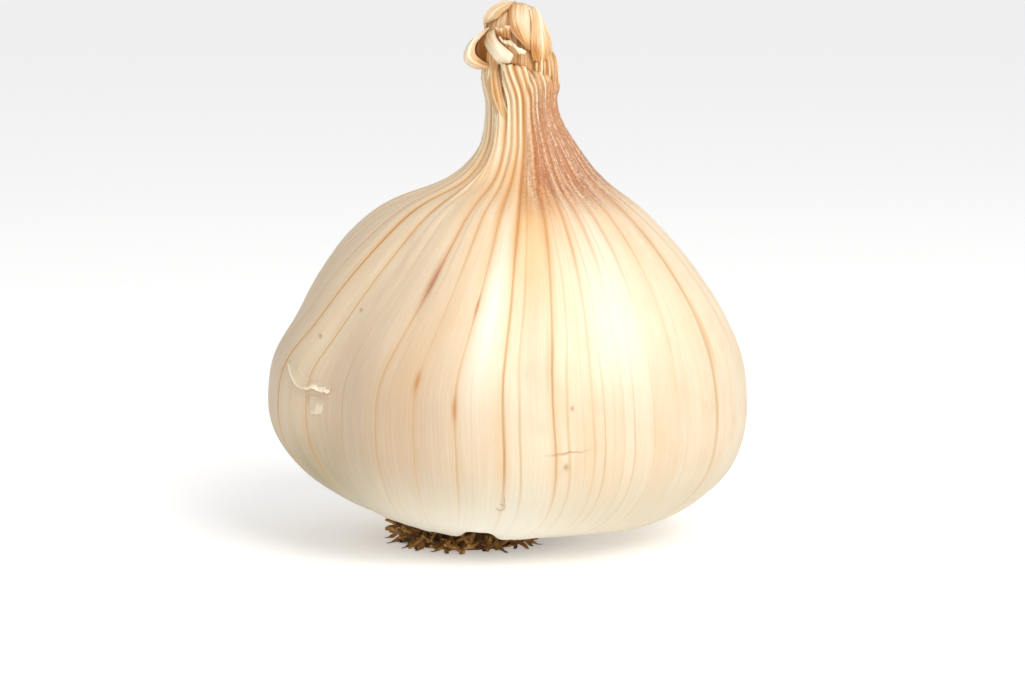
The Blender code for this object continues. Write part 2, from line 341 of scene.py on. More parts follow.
def core_point(share):
    """Where a ring's rays start and how steeply they rise, for a share of the way up the skin."""
    belly = centre_at(belly_height)
    if share < 0.42:
        t = share / 0.42
        start = Vector((belly * ramp(t, -0.1, 0.9), 0.0, 8 * MM + 9 * MM * t))
        return start, math.radians(-35 * (1 - t) ** 0.8)
    t = (share - 0.42) / 0.58
    height = belly_height + (collar_middle.z - 0.05 * MM - belly_height) * t**1.15
    pitch = math.radians(32) * math.sin(math.pi * min(t / 0.92, 1.0)) ** 0.9
    shown = min(height + 9 * MM * math.sin(pitch), collar_middle.z - 4 * MM)
    return Vector((centre_at(shown) if t > 0 else belly, 0.0, height)), pitch


def cast_grid(rows, columns):
    """Rows of points where the rays meet the frame's bulb."""
    angles = (np.arange(columns) / columns - 0.5) * 2 * math.pi
    grid = np.zeros((rows, columns, 3))
    rim_slope = collar_tilt.x / collar_tilt.z
    for i in range(rows):
        start, pitch = core_point(i / (rows - 1))
        near_rim = ramp(start.z, collar_middle.z - 6 * MM, collar_middle.z)
        for j, angle in enumerate(angles):
            way = Vector((math.sin(angle), -math.cos(angle), 0.0))
            raised = start.copy()
            raised.z -= near_rim * rim_slope * way.x * (collar_middle.x - start.x + 4.7 * MM)
            aim = way * math.cos(pitch) + Vector((0, 0, math.sin(pitch)))
            hit = body_tree.ray_cast(raised, aim)[0]
            grid[i, j] = hit if hit is not None else grid[i - 1, j]
    return angles, grid


def evened(grid, rows):
    """The same columns with their points spaced evenly along them, and how far along each is."""
    steps = np.linalg.norm(np.diff(grid, axis=0), axis=2)
    along = np.vstack([np.zeros(grid.shape[1]), np.cumsum(steps, axis=0)])
    made = np.zeros((rows, *grid.shape[1:]))
    for j in range(grid.shape[1]):
        wanted = np.linspace(0, along[-1, j], rows)
        for axis in range(3):
            made[:, j, axis] = np.interp(wanted, along[:, j], grid[:, j, axis])
    return made, along[-1]


def ring_smoothed(grid):
    """Each point moved towards the two beside it in its row."""
    return (np.roll(grid, 1, axis=1) + np.roll(grid, -1, axis=1) + 2 * grid) / 4


def smoothed(grid, passes):
    """Each point moved towards its neighbours, all round and up and down, but for the end rows."""
    for _ in range(passes):
        grid = ring_smoothed(grid)
        inner = (grid[:-2] + grid[2:] + 2 * grid[1:-1]) / 4
        grid = np.concatenate([grid[:1], inner, grid[-1:]])
    return grid


azimuths, cast = cast_grid(130, COLUMNS)
even, lengths = evened(cast, ROWS)
base_grid = smoothed(even, 14)
for _ in range(90):  # the neck's own folds are softened more, to carry finer ones
    share = ramp(base_grid[..., 2:3], 44 * MM, 52 * MM)
    base_grid = base_grid * (1 - share) + ring_smoothed(base_grid) * share
skin_length = float(lengths.mean())
print(f"skin {skin_length / MM:.1f} mm from root plate to collar, grid {base_grid.shape}")

# %% [markdown]
# ## Bends of this bulb
#
# A few broad bends are this bulb's own: the collar hangs lower on the right, the left side has a
# dent above an inner clove's shoulder, the belly sags a little at its foot on the right, and its
# lower edge has a notch in front. At the back the rim may rise and fall only slowly.

# %% Bending the grid
COLLAR_DIP, LEFT_DENT, RIGHT_SAG, FRONT_NOTCH = 1.2 * MM, 0.85 * MM, 0.7 * MM, 1.3 * MM
RIM_WAVES = 6  # how many waves round the back's rim keeps


def bell(value, middle, width):
    return np.exp(-(((value - middle) / width) ** 2))


rim_rows = ramp(np.arange(ROWS), ROWS - 34, ROWS - 10)[:, None, None]
waves = np.fft.rfft(base_grid, axis=1)
waves[:, RIM_WAVES:] = 0
at_back = ramp(base_grid[..., 1:2], 0.5 * MM, 3 * MM)
base_grid += rim_rows * at_back * (np.fft.irfft(waves, COLUMNS, axis=1) - base_grid)

x, y, z = (base_grid[..., axis] for axis in range(3))  # changing these moves the points
z -= COLLAR_DIP * ramp(x, 8.3 * MM, 12 * MM) * ramp(z, 54 * MM, 59.5 * MM)
x += LEFT_DENT * bell(z, 29 * MM, 5.5 * MM) * (1 - ramp(x, -20 * MM, -8 * MM))
right_foot = bell(x, 21 * MM, 5 * MM) * (1 - ramp(z, 2 * MM, 9 * MM))
z -= RIGHT_SAG * right_foot * (z > 1.5 * MM)
in_front = ramp(x, -1.1 * MM, 1.0 * MM) * (1 - ramp(x, 2.6 * MM, 4.7 * MM)) * (y < 0)
z += FRONT_NOTCH * in_front * (1 - ramp(z, 2.4 * MM, 5.5 * MM))
print("grid bent")

# %% [markdown]
# ## A mesh from the grid
#
# The grid becomes one closed mesh: a wall of quads that joins up at the back, with a small fan of
# triangles over the hole at the roots and another inside the collar. Its picture map, OFBake, is
# the skin cut at both sides and unrolled as two strips, front above back, so that each half gets
# the map's full width for its fine veins.

# %% Building the mesh
def give(mesh, name, values):
    """Stores a number, or a row of three, for each point of a mesh."""
    values = np.asarray(values, np.float32)
    kind, field = ("FLOAT_VECTOR", "vector") if values.ndim == 2 else ("FLOAT", "value")
    mesh.attributes.new(name, kind, "POINT").data.foreach_set(field, values.ravel())


def closed_wall(rows, columns):
    """Quads between the rows, and the two fans, as corner numbers; two points more close the ends."""
    faces = []
    for i in range(rows - 1):
        for j in range(columns):
            k = (j + 1) % columns
            faces.append((i * columns + j, i * columns + k, (i + 1) * columns + k, (i + 1) * columns + j))
    count = rows * columns
    for j in range(columns):
        k = (j + 1) % columns
        faces.append((k, j, count))
        faces.append(((rows - 1) * columns + j, (rows - 1) * columns + k, count + 1))
    return faces


def strip_map(mesh, rows, columns):
    """Two unrolled strips, one for the front half of the wall and one for the back."""
    layer = mesh.uv_layers.new(name="OFBake")
    walls = (rows - 1) * columns
    uv = np.zeros((len(mesh.loops), 2), np.float32)
    edge = 0.006
    for number in range(walls):
        i, j = divmod(number, columns)
        turn = (j / columns + 0.25) % 1.0  # 0 where the left side is cut
        half = 0 if turn < 0.5 - 1e-9 else 1
        left = (turn - 0.5 * half) * 2
        wide = 2.0 / columns
        for corner, (across, up) in enumerate(((0, 0), (1, 0), (1, 1), (0, 1))):
            u = edge + (1 - 2 * edge) * (left + across * wide)
            v = (i + up) / (rows - 1)
            uv[number * 4 + corner] = (u, 0.075 + 0.455 * half + 0.445 * v)
    # The fans, in the free strip below
    first = walls * 4
    for number in range(2 * columns):
        j, end = number // 2, number % 2
        middle = (0.035 + 0.08 * end, 0.036)
        for corner in range(3):
            step = (j + (1 if (corner == 0) != (end == 1) else 0)) if corner < 2 else None
            if step is None:
                spot = middle
            else:
                turn = 2 * math.pi * step / columns
                spot = (middle[0] + 0.03 * math.cos(turn), middle[1] + 0.03 * math.sin(turn))
            uv[first + number * 3 + corner] = spot
    layer.uv.foreach_set("vector", uv.ravel())


def skin_mesh(grid, angles, length):
    rows, columns = grid.shape[:2]
    points = grid.reshape(-1, 3)
    ends = np.array([grid[0].mean(axis=0), grid[-1].mean(axis=0)])
    points = np.vstack([points, ends])
    mesh = bpy.data.meshes.new("wrapper")
    mesh.from_pydata(points.tolist(), [], closed_wall(rows, columns))
    strands = np.zeros((len(points), 3), np.float32)
    angle = strand_angle(np.tile(angles, rows), points[: rows * columns])
    strands[: rows * columns, 0] = np.cos(angle)
    strands[: rows * columns, 1] = np.sin(angle)
    strands[: rows * columns, 2] = np.repeat(np.linspace(0, length, rows), columns)
    strands[-1, 2] = length
    girth = np.zeros(len(points), np.float32)
    around = np.linalg.norm(grid - grid.mean(axis=1, keepdims=True), axis=2)
    girth[: rows * columns] = around.ravel()
    give(mesh, "strand", strands)
    give(mesh, "girth", girth)
    strip_map(mesh, rows, columns)
    mesh.shade_smooth()
    return mesh


wrapper = linked("bulb_skin", skin_mesh(base_grid, azimuths, skin_length))
print(f"{len(wrapper.data.vertices)} points, {len(wrapper.data.polygons)} faces")

# %% [markdown]
# ## Where the veins are
#
# There are about 36 veins round the bulb, ten degrees or so between each two, but never quite even.
# One formula gives the number of the nearest vein and the distance to it. It is written once and
# used twice, in the geometry for the pleats and in the skin's colour.

# %% The vein rule
VEIN_COUNT = 36
TURN = 2 * math.pi


# How far each of the front's veins is ahead of an even spacing: (degrees round the bulb, spacings)
VEIN_SHIFTS = (
    (-95, 0.0), (-69, -0.1), (-56, -0.4), (-43, 0.3), (-30, 0.1), (-21, 0.13), (-11.4, 0.14),
    (-0.6, 0.06), (11.4, -0.14), (20, 0.0), (28, 0.21), (36.6, 0.34), (46, 0.42), (59.6, 0.04),
    (75, -0.5), (95, 0.0),
)
# How dark each is, by its number, counted from the middle of the front
VEIN_STRENGTHS = (
    (-18, 0.3), (-8, 0.35), (-7, 0.8), (-6, 0.78), (-5, 0.0), (-4, 0.12), (-3, 0.55), (-2, 0.45),
    (-1, 0.65), (0, 0.95), (1, 0.95), (2, 0.5), (3, 0.5), (4, 0.4), (5, 0.32), (6, 0.35), (7, 0.3),
    (8, 0.25), (18, 0.3),
)


def drawn(tree, value, points, low, high):
    """A curve through (position, height) points, its heights between low and high."""
    first, last = points[0][0], points[-1][0]
    node = tree.nodes.new("ShaderNodeFloatCurve")
    curve = node.mapping.curves[0]
    spots = [((x - first) / (last - first), (y - low) / (high - low)) for x, y in points]
    curve.points[0].location, curve.points[1].location = spots[0], spots[-1]
    for spot in spots[1:-1]:
        curve.points.new(*spot)
    node.mapping.update()
    connect(tree, (value - first) / (last - first), node.inputs["Value"])
    return Term(tree, node.outputs[0]) * (high - low) + low


def veins(tree, strand):
    """(number of the nearest vein, distance to it in vein spacings, the place between veins)."""
    across, along, climb = split(strand)
    angle = along.math("ARCTAN2", across)
    shift = drawn(tree, angle * math.degrees(1), VEIN_SHIFTS, -0.6, 0.6)
    # At the back the spacing is uneven by chance, and every vein wanders a little as it climbs
    back = 1.0 - across.rise(-0.6, -0.1)
    uneven = grain(tree, vector(tree, across, along, 0.0), 1.7, 1.0) * back
    drift = grain(tree, vector(tree, across * 2.5, along * 2.5, climb * 18.0), 1.0, 2.0)
    spot = angle * (VEIN_COUNT / TURN) + shift + uneven * 1.1 + drift * (0.34 - back * 0.14)
    number = spot.math("ROUND")
    return number, (spot - number).math("ABSOLUTE"), spot


print(f"{VEIN_COUNT} veins, {TURN * 28 / VEIN_COUNT:.1f} mm apart at the belly")

# %% [markdown]
# ## Relief: pleats, panels and dents
#
# Where the leaf is gathered into the neck its skin folds into pleats, each about as wide as the
# step between two veins, with a vein in every groove. Over the shoulder they flatten out, and the
# belly is nearly smooth, with soft dents. A Geometry Nodes tree moves each point along its normal by
# the sum of these, because every part of that relief is a rule. Its depths are inputs of the tree.

# %% A geometry tree with named inputs
def new_tree(name, inputs):
    """A geometry tree that takes and gives geometry, with these named numbers as inputs."""
    tree = bpy.data.node_groups.new(name, "GeometryNodeTree")
    face = tree.interface
    face.new_socket("Geometry", in_out="INPUT", socket_type="NodeSocketGeometry")
    for label, (kind, value) in inputs.items():
        made = face.new_socket(label, in_out="INPUT", socket_type=kind)
        if value is not None:
            made.default_value = value
    face.new_socket("Geometry", in_out="OUTPUT", socket_type="NodeSocketGeometry")
    start = tree.nodes.new("NodeGroupInput")
    end = tree.nodes.new("NodeGroupOutput")
    terms = {s.name: Term(tree, s) for s in start.outputs if s.name}
    return tree, terms, end


def run_tree(made, tree, values=()):
    """Runs the tree on an object as a modifier, keeps the result as its mesh, and drops the modifier."""
    modifier = made.modifiers.new("nodes", "NODES")
    modifier.node_group = tree
    sockets = {s.name: s.identifier for s in tree.interface.items_tree if s.in_out == "INPUT"}
    for label, value in dict(values).items():
        modifier[sockets[label]] = value
    bpy.context.view_layer.update()
    graph = bpy.context.evaluated_depsgraph_get()
    seen = made.evaluated_get(graph)
    mesh = bpy.data.meshes.new_from_object(seen, preserve_all_data_layers=True, depsgraph=graph)
    made.modifiers.remove(modifier)
    made.data = mesh


def attribute(tree, name, kind):
    return place(tree, "GeometryNodeInputNamedAttribute", {"Name": name}, data_type=kind)


def moved_out(tree, geometry, distance):
    """The geometry with every point moved that far along its normal."""
    normal = place(tree, "GeometryNodeInputNormal")
    push = place(tree, "ShaderNodeVectorMath", {0: normal, "Scale": distance}, operation="SCALE")
    return place(tree, "GeometryNodeSetPosition", {"Geometry": geometry, "Offset": push})


# %% The skin's relief
def relief_tree(skin_material):
    floats = "NodeSocketFloat"
    inputs = {
        "Pleat depth": (floats, 0.28 * MM),
        "Panel depth": (floats, 0.13 * MM),
        "Dent depth": (floats, 0.75 * MM),
        "Fold depth": (floats, 0.55 * MM),
        "Seed": (floats, 3.0),
    }
    tree, term, end = new_tree("skin_relief", inputs)
    strand = attribute(tree, "strand", "FLOAT_VECTOR")
    across, along, climb = split(strand)
    x, y, z = split(place(tree, "GeometryNodeInputPosition"))
    number, away, _ = veins(tree, strand)
    own = chance(tree, number, term["Seed"])

    # Pleats: rounded ridges between the veins, with sharp grooves on them
    ridge = ((away * 2.0) ** 0.8) * (own * 1.1 + 0.45)
    neck = z.rise(45 * MM, 55 * MM)
    shoulder = z.rise(24 * MM, 42 * MM)
    rim = 1.0 - z.rise(58.5 * MM, 61.5 * MM) * 0.5
    pleats = ridge * neck * rim * term["Pleat depth"]
    low_skin = 1.0 - z.rise(4 * MM, 10 * MM)
    raised = shoulder * (1.0 - neck) * 0.7 + low_skin * 0.5 + 0.12
    panels = (away * 2.0) ** 0.7 * raised * term["Panel depth"]

    # Finer pleats between them in the neck
    fine = vector(tree, across * 20.0, along * 20.0, climb * 45.0)
    creases = grain(tree, fine, 1.0, 2.0, 0.5) * neck * term["Pleat depth"] * 1.1

    # Dents that are longer than they are wide
    long = vector(tree, across * 3.2, along * 3.2, climb * 42.0)
    dents = grain(tree, long, 1.0, 2.0) * term["Dent depth"] * (1.0 - neck * 0.6)

    # The front's middle sags in one long soft fold with a facet across it
    front = 1.0 - y.rise(-12 * MM, -4 * MM)
    fold = (x + z * 0.04).bell(8.4 * MM, 1.9 * MM) * z.rise(19 * MM, 25 * MM)
    fold = fold * (1.0 - z.rise(31 * MM, 39 * MM)) * front * -1.0
    step = (x - z * 0.05).rise(8.6 * MM, 9.3 * MM) * (1.0 - x.rise(11 * MM, 15 * MM))
    step = step * z.bell(26.5 * MM, 4.0 * MM) * front
    # On the left an inner clove's shoulder shows as a low step
    bulge = z.bell(24.5 * MM, 3.5 * MM) * (1.0 - x.rise(-21 * MM, -15 * MM)) * 0.6
    folds = (fold + step * 0.55 + bulge) * term["Fold depth"]

    # The pleats stand on a slightly slimmer neck
    slim = z.rise(41 * MM, 48 * MM) * (1.0 - z.rise(54 * MM, 58 * MM) * 0.8) * term["Pleat depth"] * 2.0
    lift = pleats + panels + creases + dents + folds - slim
    shaped = moved_out(tree, term["Geometry"], lift)
    dressed = place(tree, "GeometryNodeSetMaterial", {"Geometry": shaped, "Material": skin_material})
    real = place(tree, "GeometryNodeRealizeInstances", {"Geometry": dressed})
    tree.links.new(real.socket, end.inputs[0])
    return tree


# %% [markdown]
# ## The skin's finish
#
# Dry garlic skin is off-white and slightly translucent, with a satin gloss. Its veins are ochre
# with a soft orange halo. Thinner veins and fine fibres run between them. The neck's right side has
# a purple-brown stain, broken up along the fibres, and below it the skin is golden. Painted shade
# darkens the front's left side, the low belly, the trough of the middle fold and, with the veins'
# ochre, the neck's grooves, and a painted greenish reflection lies low on the left. Painted
# highlights add to pale panels on the front and to the torn lip.

# %% Colours
def tint(red, green, blue):
    """A colour as a screen shows it, 0 to 255, in the linear numbers that shaders use."""
    made = []
    for value in (red, green, blue):
        share = value / 255
        made.append(share / 12.92 if share <= 0.04045 else ((share + 0.055) / 1.055) ** 2.4)
    return (*made, 1.0)


def blend(tree, share, under, over, mode="MIX"):
    """Over painted on under where share is 1."""
    node = tree.nodes.new("ShaderNodeMix")
    node.data_type, node.blend_type = "RGBA", mode
    node.clamp_factor = True
    slots = [s for s in node.inputs if s.enabled]
    for slot, value in zip(slots, (share, under, over)):
        connect(tree, value, slot)
    return Term(tree, next(s for s in node.outputs if s.enabled))


def clipped(term):
    return place(term.tree, "ShaderNodeClamp", {"Value": term})


def new_material(name):
    made = bpy.data.materials.new(name)
    made.use_nodes = True
    return made, made.node_tree, made.node_tree.nodes["Principled BSDF"]


# %% Papery skin
# Brown spots on veins: (the vein's number, height and length in mm, width in vein spacings)
BROWN_VEIN_SPOTS = ((-2.0, 24.0, 1.3, 0.08), (-1.0, 21.0, 1.6, 0.06), (-1.0, 32.4, 1.2, 0.05))
# Small brown dots, in mm: (x, height, size)
BROWN_DOTS = ((12.9, 21.0, 0.22), (12.2, 14.1, 0.30), (-17.2, 27.6, 0.2), (-12.1, 31.2, 0.16))


def papery_skin():
    made, tree, shader = new_material("papery_skin")
    strand = place(tree, "ShaderNodeAttribute", out=1, attribute_name="strand")
    girth = place(tree, "ShaderNodeAttribute", out=2, attribute_name="girth")
    across, along, climb = split(strand)
    place_on = place(tree, "ShaderNodeTexCoord", out=3)
    x, y, z = split(place_on)
    neck = z.rise(47 * MM, 56 * MM)
    front = 1.0 - y.rise(-10 * MM, 6 * MM)

    # Veins: a line about 0.3 mm wide, in a halo about 1.5 mm wide
    number, away, spot = veins(tree, strand)
    reach = away * girth * (TURN / VEIN_COUNT)
    own = drawn(tree, number, VEIN_STRENGTHS, 0.0, 1.0)
    fade = grain(tree, vector(tree, across * 6.0, along * 6.0, climb * 60.0), 1.0, 2.0)
    upper = z.rise(22 * MM, 40 * MM)
    pale_side = x.rise(10 * MM, 18 * MM) * (1.0 - upper) * front
    strong = clipped(own + fade * 1.1 - pale_side * 0.28 + upper * 0.08)
    strong = strong * (0.35 + 0.65 * z.rise(2 * MM, 16 * MM))
    line = (1.0 - reach.rise(0.02 * MM, 0.19 * MM)) * strong
    halo = (1.0 - reach.rise(0.1 * MM, 1.1 * MM)) * strong

    # Thin veins between the main ones
    thin_spot = spot * 3.0 + grain(tree, vector(tree, across * 5.0, along * 5.0, climb * 50.0), 1.0) * 0.7
    thin_number = thin_spot.math("ROUND")
    thin_away = (thin_spot - thin_number).math("ABSOLUTE") * girth * (TURN / VEIN_COUNT / 3)
    thin_own = chance(tree, thin_number, 2.0)
    thin = (1.0 - thin_away.rise(0.03 * MM, 0.20 * MM)) * clipped(thin_own * 2.2 - 1.2 + fade)

    # Fibres and cloudy patches, both drawn out along the strands
    fibre = grain(tree, vector(tree, across * 110.0, along * 110.0, climb * 120.0), 1.0, 3.0, 0.6)
    cloud = grain(tree, vector(tree, across * 9.0, along * 9.0, climb * 90.0), 1.0, 3.0)
    wide = grain(tree, vector(tree, across * 2.6, along * 2.6, climb * 30.0), 1.0, 2.0)
    mottle = grain(tree, place_on, 260.0, 3.0, 0.6)
    panel = chance(tree, spot.math("FLOOR"), 4.0)

    colour = blend(tree, clipped(wide * 1.4 + 0.5), tint(236, 219, 190), tint(247, 235, 208))
    colour = blend(tree, clipped(panel * 0.55 + cloud * 1.0), colour, tint(236, 208, 166))
    colour = blend(tree, clipped(mottle * 1.4), colour, tint(228, 196, 158))
    # Painted shade: the front's left side is darker, except on a lighter band by the sixth vein to the
    # left, and less so towards the top.
    left = (1.0 - x.rise(-8 * MM, 8 * MM)) * (1.0 - spot.bell(-6.3, 0.9) * 0.6)
    left = left * 0.78 * front * (1.0 - z.rise(30 * MM, 46 * MM) * 0.15)
    colour = blend(tree, left, colour, tint(212, 188, 160))
    # Painted shade: darker and greyer towards the bottom.
    low = 1.0 - z.rise(5 * MM, 18 * MM)
    colour = blend(tree, low * 0.65, colour, tint(206, 198, 170))
    # Painted shade low on the left, with a painted greenish reflection in it.
    low_left_shade_and_reflection = (1.0 - z.rise(8 * MM, 20 * MM)) * (1.0 - x.rise(-19 * MM, -7 * MM))
    colour = blend(tree, low_left_shade_and_reflection * 0.85, colour, tint(140, 122, 66))
    colour = blend(tree, clipped(fibre * 0.6), colour, tint(208, 172, 124))
    colour = blend(tree, clipped(fibre * -0.7), colour, tint(255, 248, 232))
    colour = blend(tree, halo * 0.34, colour, tint(230, 184, 122))
    colour = blend(tree, thin * 0.50, colour, tint(206, 160, 96))
    colour = blend(tree, line * 0.66, colour, tint(192, 134, 66))

    # Golden below the neck, and a yellowish panel under it
    golden = x.bell(6.8 * MM, 6.5 * MM) * z.bell(44.5 * MM, 6.5 * MM) * front
    colour = blend(tree, clipped(golden * (cloud * 1.8 + 0.55)), colour, tint(226, 170, 104))
    yellow = spot.bell(0.5, 0.40) * z.bell(37.5 * MM, 5.5 * MM)
    colour = blend(tree, yellow * 0.6, colour, tint(226, 188, 122))
    # Panels that are nearly white, partly paler skin and partly a painted highlight, and a broad tan one on
    # the left, partly tan skin and partly painted shade
    white = (spot.bell(-0.55, 0.33) + spot.bell(3.1, 1.3)) * z.bell(31 * MM, 10 * MM)
    colour = blend(tree, clipped(white) * front * 0.75, colour, tint(255, 248, 232))
    tan_and_shade = spot.bell(-2.3, 0.9) * z.bell(23 * MM, 11 * MM) * front
    colour = blend(tree, tan_and_shade * 0.5, colour, tint(214, 178, 136))
    # Painted shade in the trough of the front's middle fold.
    crease_shade = spot.bell(0.45, 0.30) * z.bell(26 * MM, 7 * MM) * front
    colour = blend(tree, crease_shade * 0.35, colour, tint(214, 190, 154))
    top_vein = (1.0 - reach.rise(0.05 * MM, 0.6 * MM)) * strong * z.rise(34 * MM, 42 * MM) * front
    colour = blend(tree, top_vein * 0.5, colour, tint(206, 132, 62))

    # The purple-brown stain on the neck's right side, broken up along the fibres
    streak = grain(tree, vector(tree, across * 26.0, along * 26.0, climb * 110.0), 1.0, 4.0, 0.65)
    speck = grain(tree, place_on, 2600.0, 3.0, 0.7)
    side = (x - (z - 48 * MM) * 0.1).rise(6.2 * MM, 9.5 * MM)
    band = z.rise(41 * MM, 47 * MM) * (1.0 - z.rise(53.5 * MM, 60 * MM) * 0.75)
    wide_front = 1.0 - y.rise(-2 * MM, 9 * MM)
    stain = clipped(side * band * wide_front * (streak * 5.0 + speck * 3.4 + 0.9))
    colour = blend(tree, stain * 0.8, colour, tint(136, 76, 64))
    rose = clipped(side * z.rise(38 * MM, 46 * MM) * wide_front * (cloud * 1.5 + streak + 0.55))
    colour = blend(tree, rose * 0.45, colour, tint(220, 146, 92))

    # Neck: cream ridges, ochre grooves; the grooves' ochre is partly the veins' own colour and partly
    # painted shade
    groove_ochre_and_shade = (1.0 - (away * 2.0).rise(0.0, 0.6)) * neck
    colour = blend(tree, groove_ochre_and_shade * 0.6, colour, tint(190, 140, 74))
    ridge_top = (away * 2.0).rise(0.5, 1.0) * neck * clipped(1.0 - stain * 0.8)
    colour = blend(tree, ridge_top * clipped(panel * 1.4 - 0.3), colour, tint(252, 240, 208))

    # The low belly is darker and greyer, a painted shade, and the right side a little deeper
    low_belly_shade = 1.0 - z.rise(18 * MM, 31 * MM)
    colour = blend(tree, low_belly_shade, colour, (0.86, 0.85, 0.85, 1.0), "MULTIPLY")
    colour = blend(tree, x.rise(8 * MM, 17 * MM) * front, colour, (0.96, 0.92, 0.88, 1.0), "MULTIPLY")
    foot_pale = (1.0 - z.rise(4 * MM, 15 * MM)) * (x.bell(3 * MM, 12 * MM) * 0.55 + 0.2) * front
    colour = blend(tree, foot_pale, colour, tint(228, 225, 212))

    # A bruise along one vein, a few brown spots, a crack and a nick
    bruise = spot.bell(-3.0, 0.13) * z.bell(35 * MM, 2.6 * MM) * front
    colour = blend(tree, bruise * 0.75, colour, tint(164, 100, 72))
    for vein, height, long, wide in BROWN_VEIN_SPOTS:
        spots = spot.bell(vein, wide) * z.bell(height * MM, long * MM) * front
        colour = blend(tree, spots * 0.7, colour, tint(190, 118, 50))
    for east, height, size in BROWN_DOTS:
        mark = x.bell(east * MM, size * MM) * z.bell(height * MM, size * 1.3 * MM) * front
        colour = blend(tree, mark * 0.6, colour, tint(150, 108, 66))
    ragged = grain(tree, place_on, 900.0, 3.0) * 0.9 * MM
    crack = (z + ragged - (x * 0.12)).bell(14.3 * MM, 0.11 * MM) * x.bell(12.3 * MM, 2.1 * MM) * front
    colour = blend(tree, clipped(crack * 1.3) * 0.6, colour, tint(190, 140, 92))
    ring = (((x - 4.5 * MM) ** 2.0 + (z - 9.0 * MM) ** 2.0) ** 0.5).bell(0.42 * MM, 0.10 * MM)
    ring = ring * clipped(x.rise(4.3 * MM, 4.7 * MM) + (1.0 - z.rise(8.7 * MM, 9.1 * MM)))
    ring = clipped(ring + x.bell(4.95 * MM, 0.09 * MM) * z.bell(9.9 * MM, 0.6 * MM))
    colour = blend(tree, ring * front * 0.5, colour, tint(150, 134, 112))

    # The edge by the roots is brown and dry
    foot = (1.0 - climb.rise(3.0 * MM, 9.0 * MM)) * clipped(streak + 0.75)
    colour = blend(tree, foot * 0.8, colour, tint(120, 84, 44))

    # A torn edge is paler: partly its pale inside, partly a painted highlight on the raised lip and
    # crumpled fold
    pale_lip_and_highlight = place(tree, "ShaderNodeAttribute", out=2, attribute_name="pale_lip_and_highlight")
    colour = blend(tree, pale_lip_and_highlight * 0.75, colour, tint(252, 240, 216))

    connect(tree, colour, shader.inputs["Base Color"])
    rough = clipped(fibre * 0.25 + cloud * 0.3 + 0.46)
    connect(tree, rough, shader.inputs["Roughness"])
    shader.inputs["Specular IOR Level"].default_value = 0.4
    shader.inputs["Subsurface Weight"].default_value = 0.1
    shader.inputs["Subsurface Radius"].default_value = (1.0, 0.55, 0.28)
    shader.inputs["Subsurface Scale"].default_value = 1.2 * MM

    height = fibre * 0.06 + (1.0 - reach.rise(0.0, 0.35 * MM)) * strong * -0.12 + thin * -0.06 + cloud * 0.2
    height = height + mottle * 0.10 + crack * -0.2 + ring * -0.2
    bump = place(tree, "ShaderNodeBump", {"Height": height, "Strength": 0.8, "Distance": 0.6 * MM})
    connect(tree, bump, shader.inputs["Normal"])
    return made


skin_material = papery_skin()
run_tree(wrapper, relief_tree(skin_material), {"Seed": 3.0})
wrapper.data.shade_smooth()
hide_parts("bulb")
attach(wrapper, "root")
print(f"skin: {len(wrapper.data.polygons)} faces, maps {wrapper.data.uv_layers.keys()}")

# %% [markdown]
# ## The dry sheaths
#
# Above the collar the leaves are cut short and folded over. What is left is a knob of dry, ribbed
# sheets, each about a quarter of a millimetre thick, over a rounded core. Most are drawn as a few
# rows of points laid on the core, with how far the sheet stands off and how brown it is there, a
# brown that is partly the sheet's own tone and partly painted shade in folds and under edges; the
# ear, the strap and the back sheet stand free, so their points are given in space. A smooth curve
# through the points makes a fine grid, the grid gets its ribs, and noise breaks the torn ends.

# %% Laying points on the core
core_work = welded_copy("sheath_core")
core_tree = BVHTree.FromBMesh(core_work)
core_low, core_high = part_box("sheath_core")
KNOB_CENTRE = Vector(((core_low.x + core_high.x) / 2, 0.0, 63.0 * MM))


def laid(x, z, lift):
    """A point of the core as seen from the front, in millimetres, moved out by the lift."""
    hit = core_tree.ray_cast(Vector((x * MM, -0.05, z * MM)), Vector((0, 1, 0)))[0]
    if hit is None:
        hit = core_tree.find_nearest(Vector((x * MM, -1.0 * MM, z * MM)))[0]
    return hit + (hit - KNOB_CENTRE).normalized() * lift * MM


def curve_through(points, count):
    """A smooth curve through rows of numbers, evenly stepped between them."""
    points = np.asarray(points, float)
    ends = np.vstack([2 * points[0] - points[1], points, 2 * points[-1] - points[-2]])
    spots = np.linspace(0, len(points) - 1, count)
    first = np.minimum(spots.astype(int), len(points) - 2)
    t = (spots - first)[:, None]
    a, b, c, d = (ends[first + k] for k in range(4))
    return 0.5 * (2 * b + (c - a) * t + (2 * a - 5 * b + 4 * c - d) * t**2 + (3 * b - a - 3 * c + d) * t**3)


def spread(rows, across, along, free):
    """A fine grid of (x, y, z, brown_and_shade) from rows of (x, z, lift, brown_and_shade), or free (x, y,
    z, brown_and_shade).
    """
    placed = []
    for row in rows:
        spots = []
        for *point, brown_and_shade in row:
            placed_at = [v * MM for v in point] if free else laid(*point)
            spots.append((*placed_at, brown_and_shade))
        placed.append(curve_through(spots, across))
    placed = np.array(placed)
    flat = curve_through(placed.reshape(len(rows), -1), along)
    return flat.reshape(along, across, 4)


def grid_normals(points, centre):
    """Unit normals of a grid, turned away from a centre."""
    up = np.gradient(points, axis=0)
    side = np.gradient(points, axis=1)
    made = np.cross(up, side)
    made /= np.maximum(np.linalg.norm(made, axis=2, keepdims=True), 1e-12)
    if np.sum(made * (points - np.array(centre))) < 0:
        made = -made
    return made


print(f"core {[(round(v / MM, 1)) for v in (*core_low, *core_high)]}")


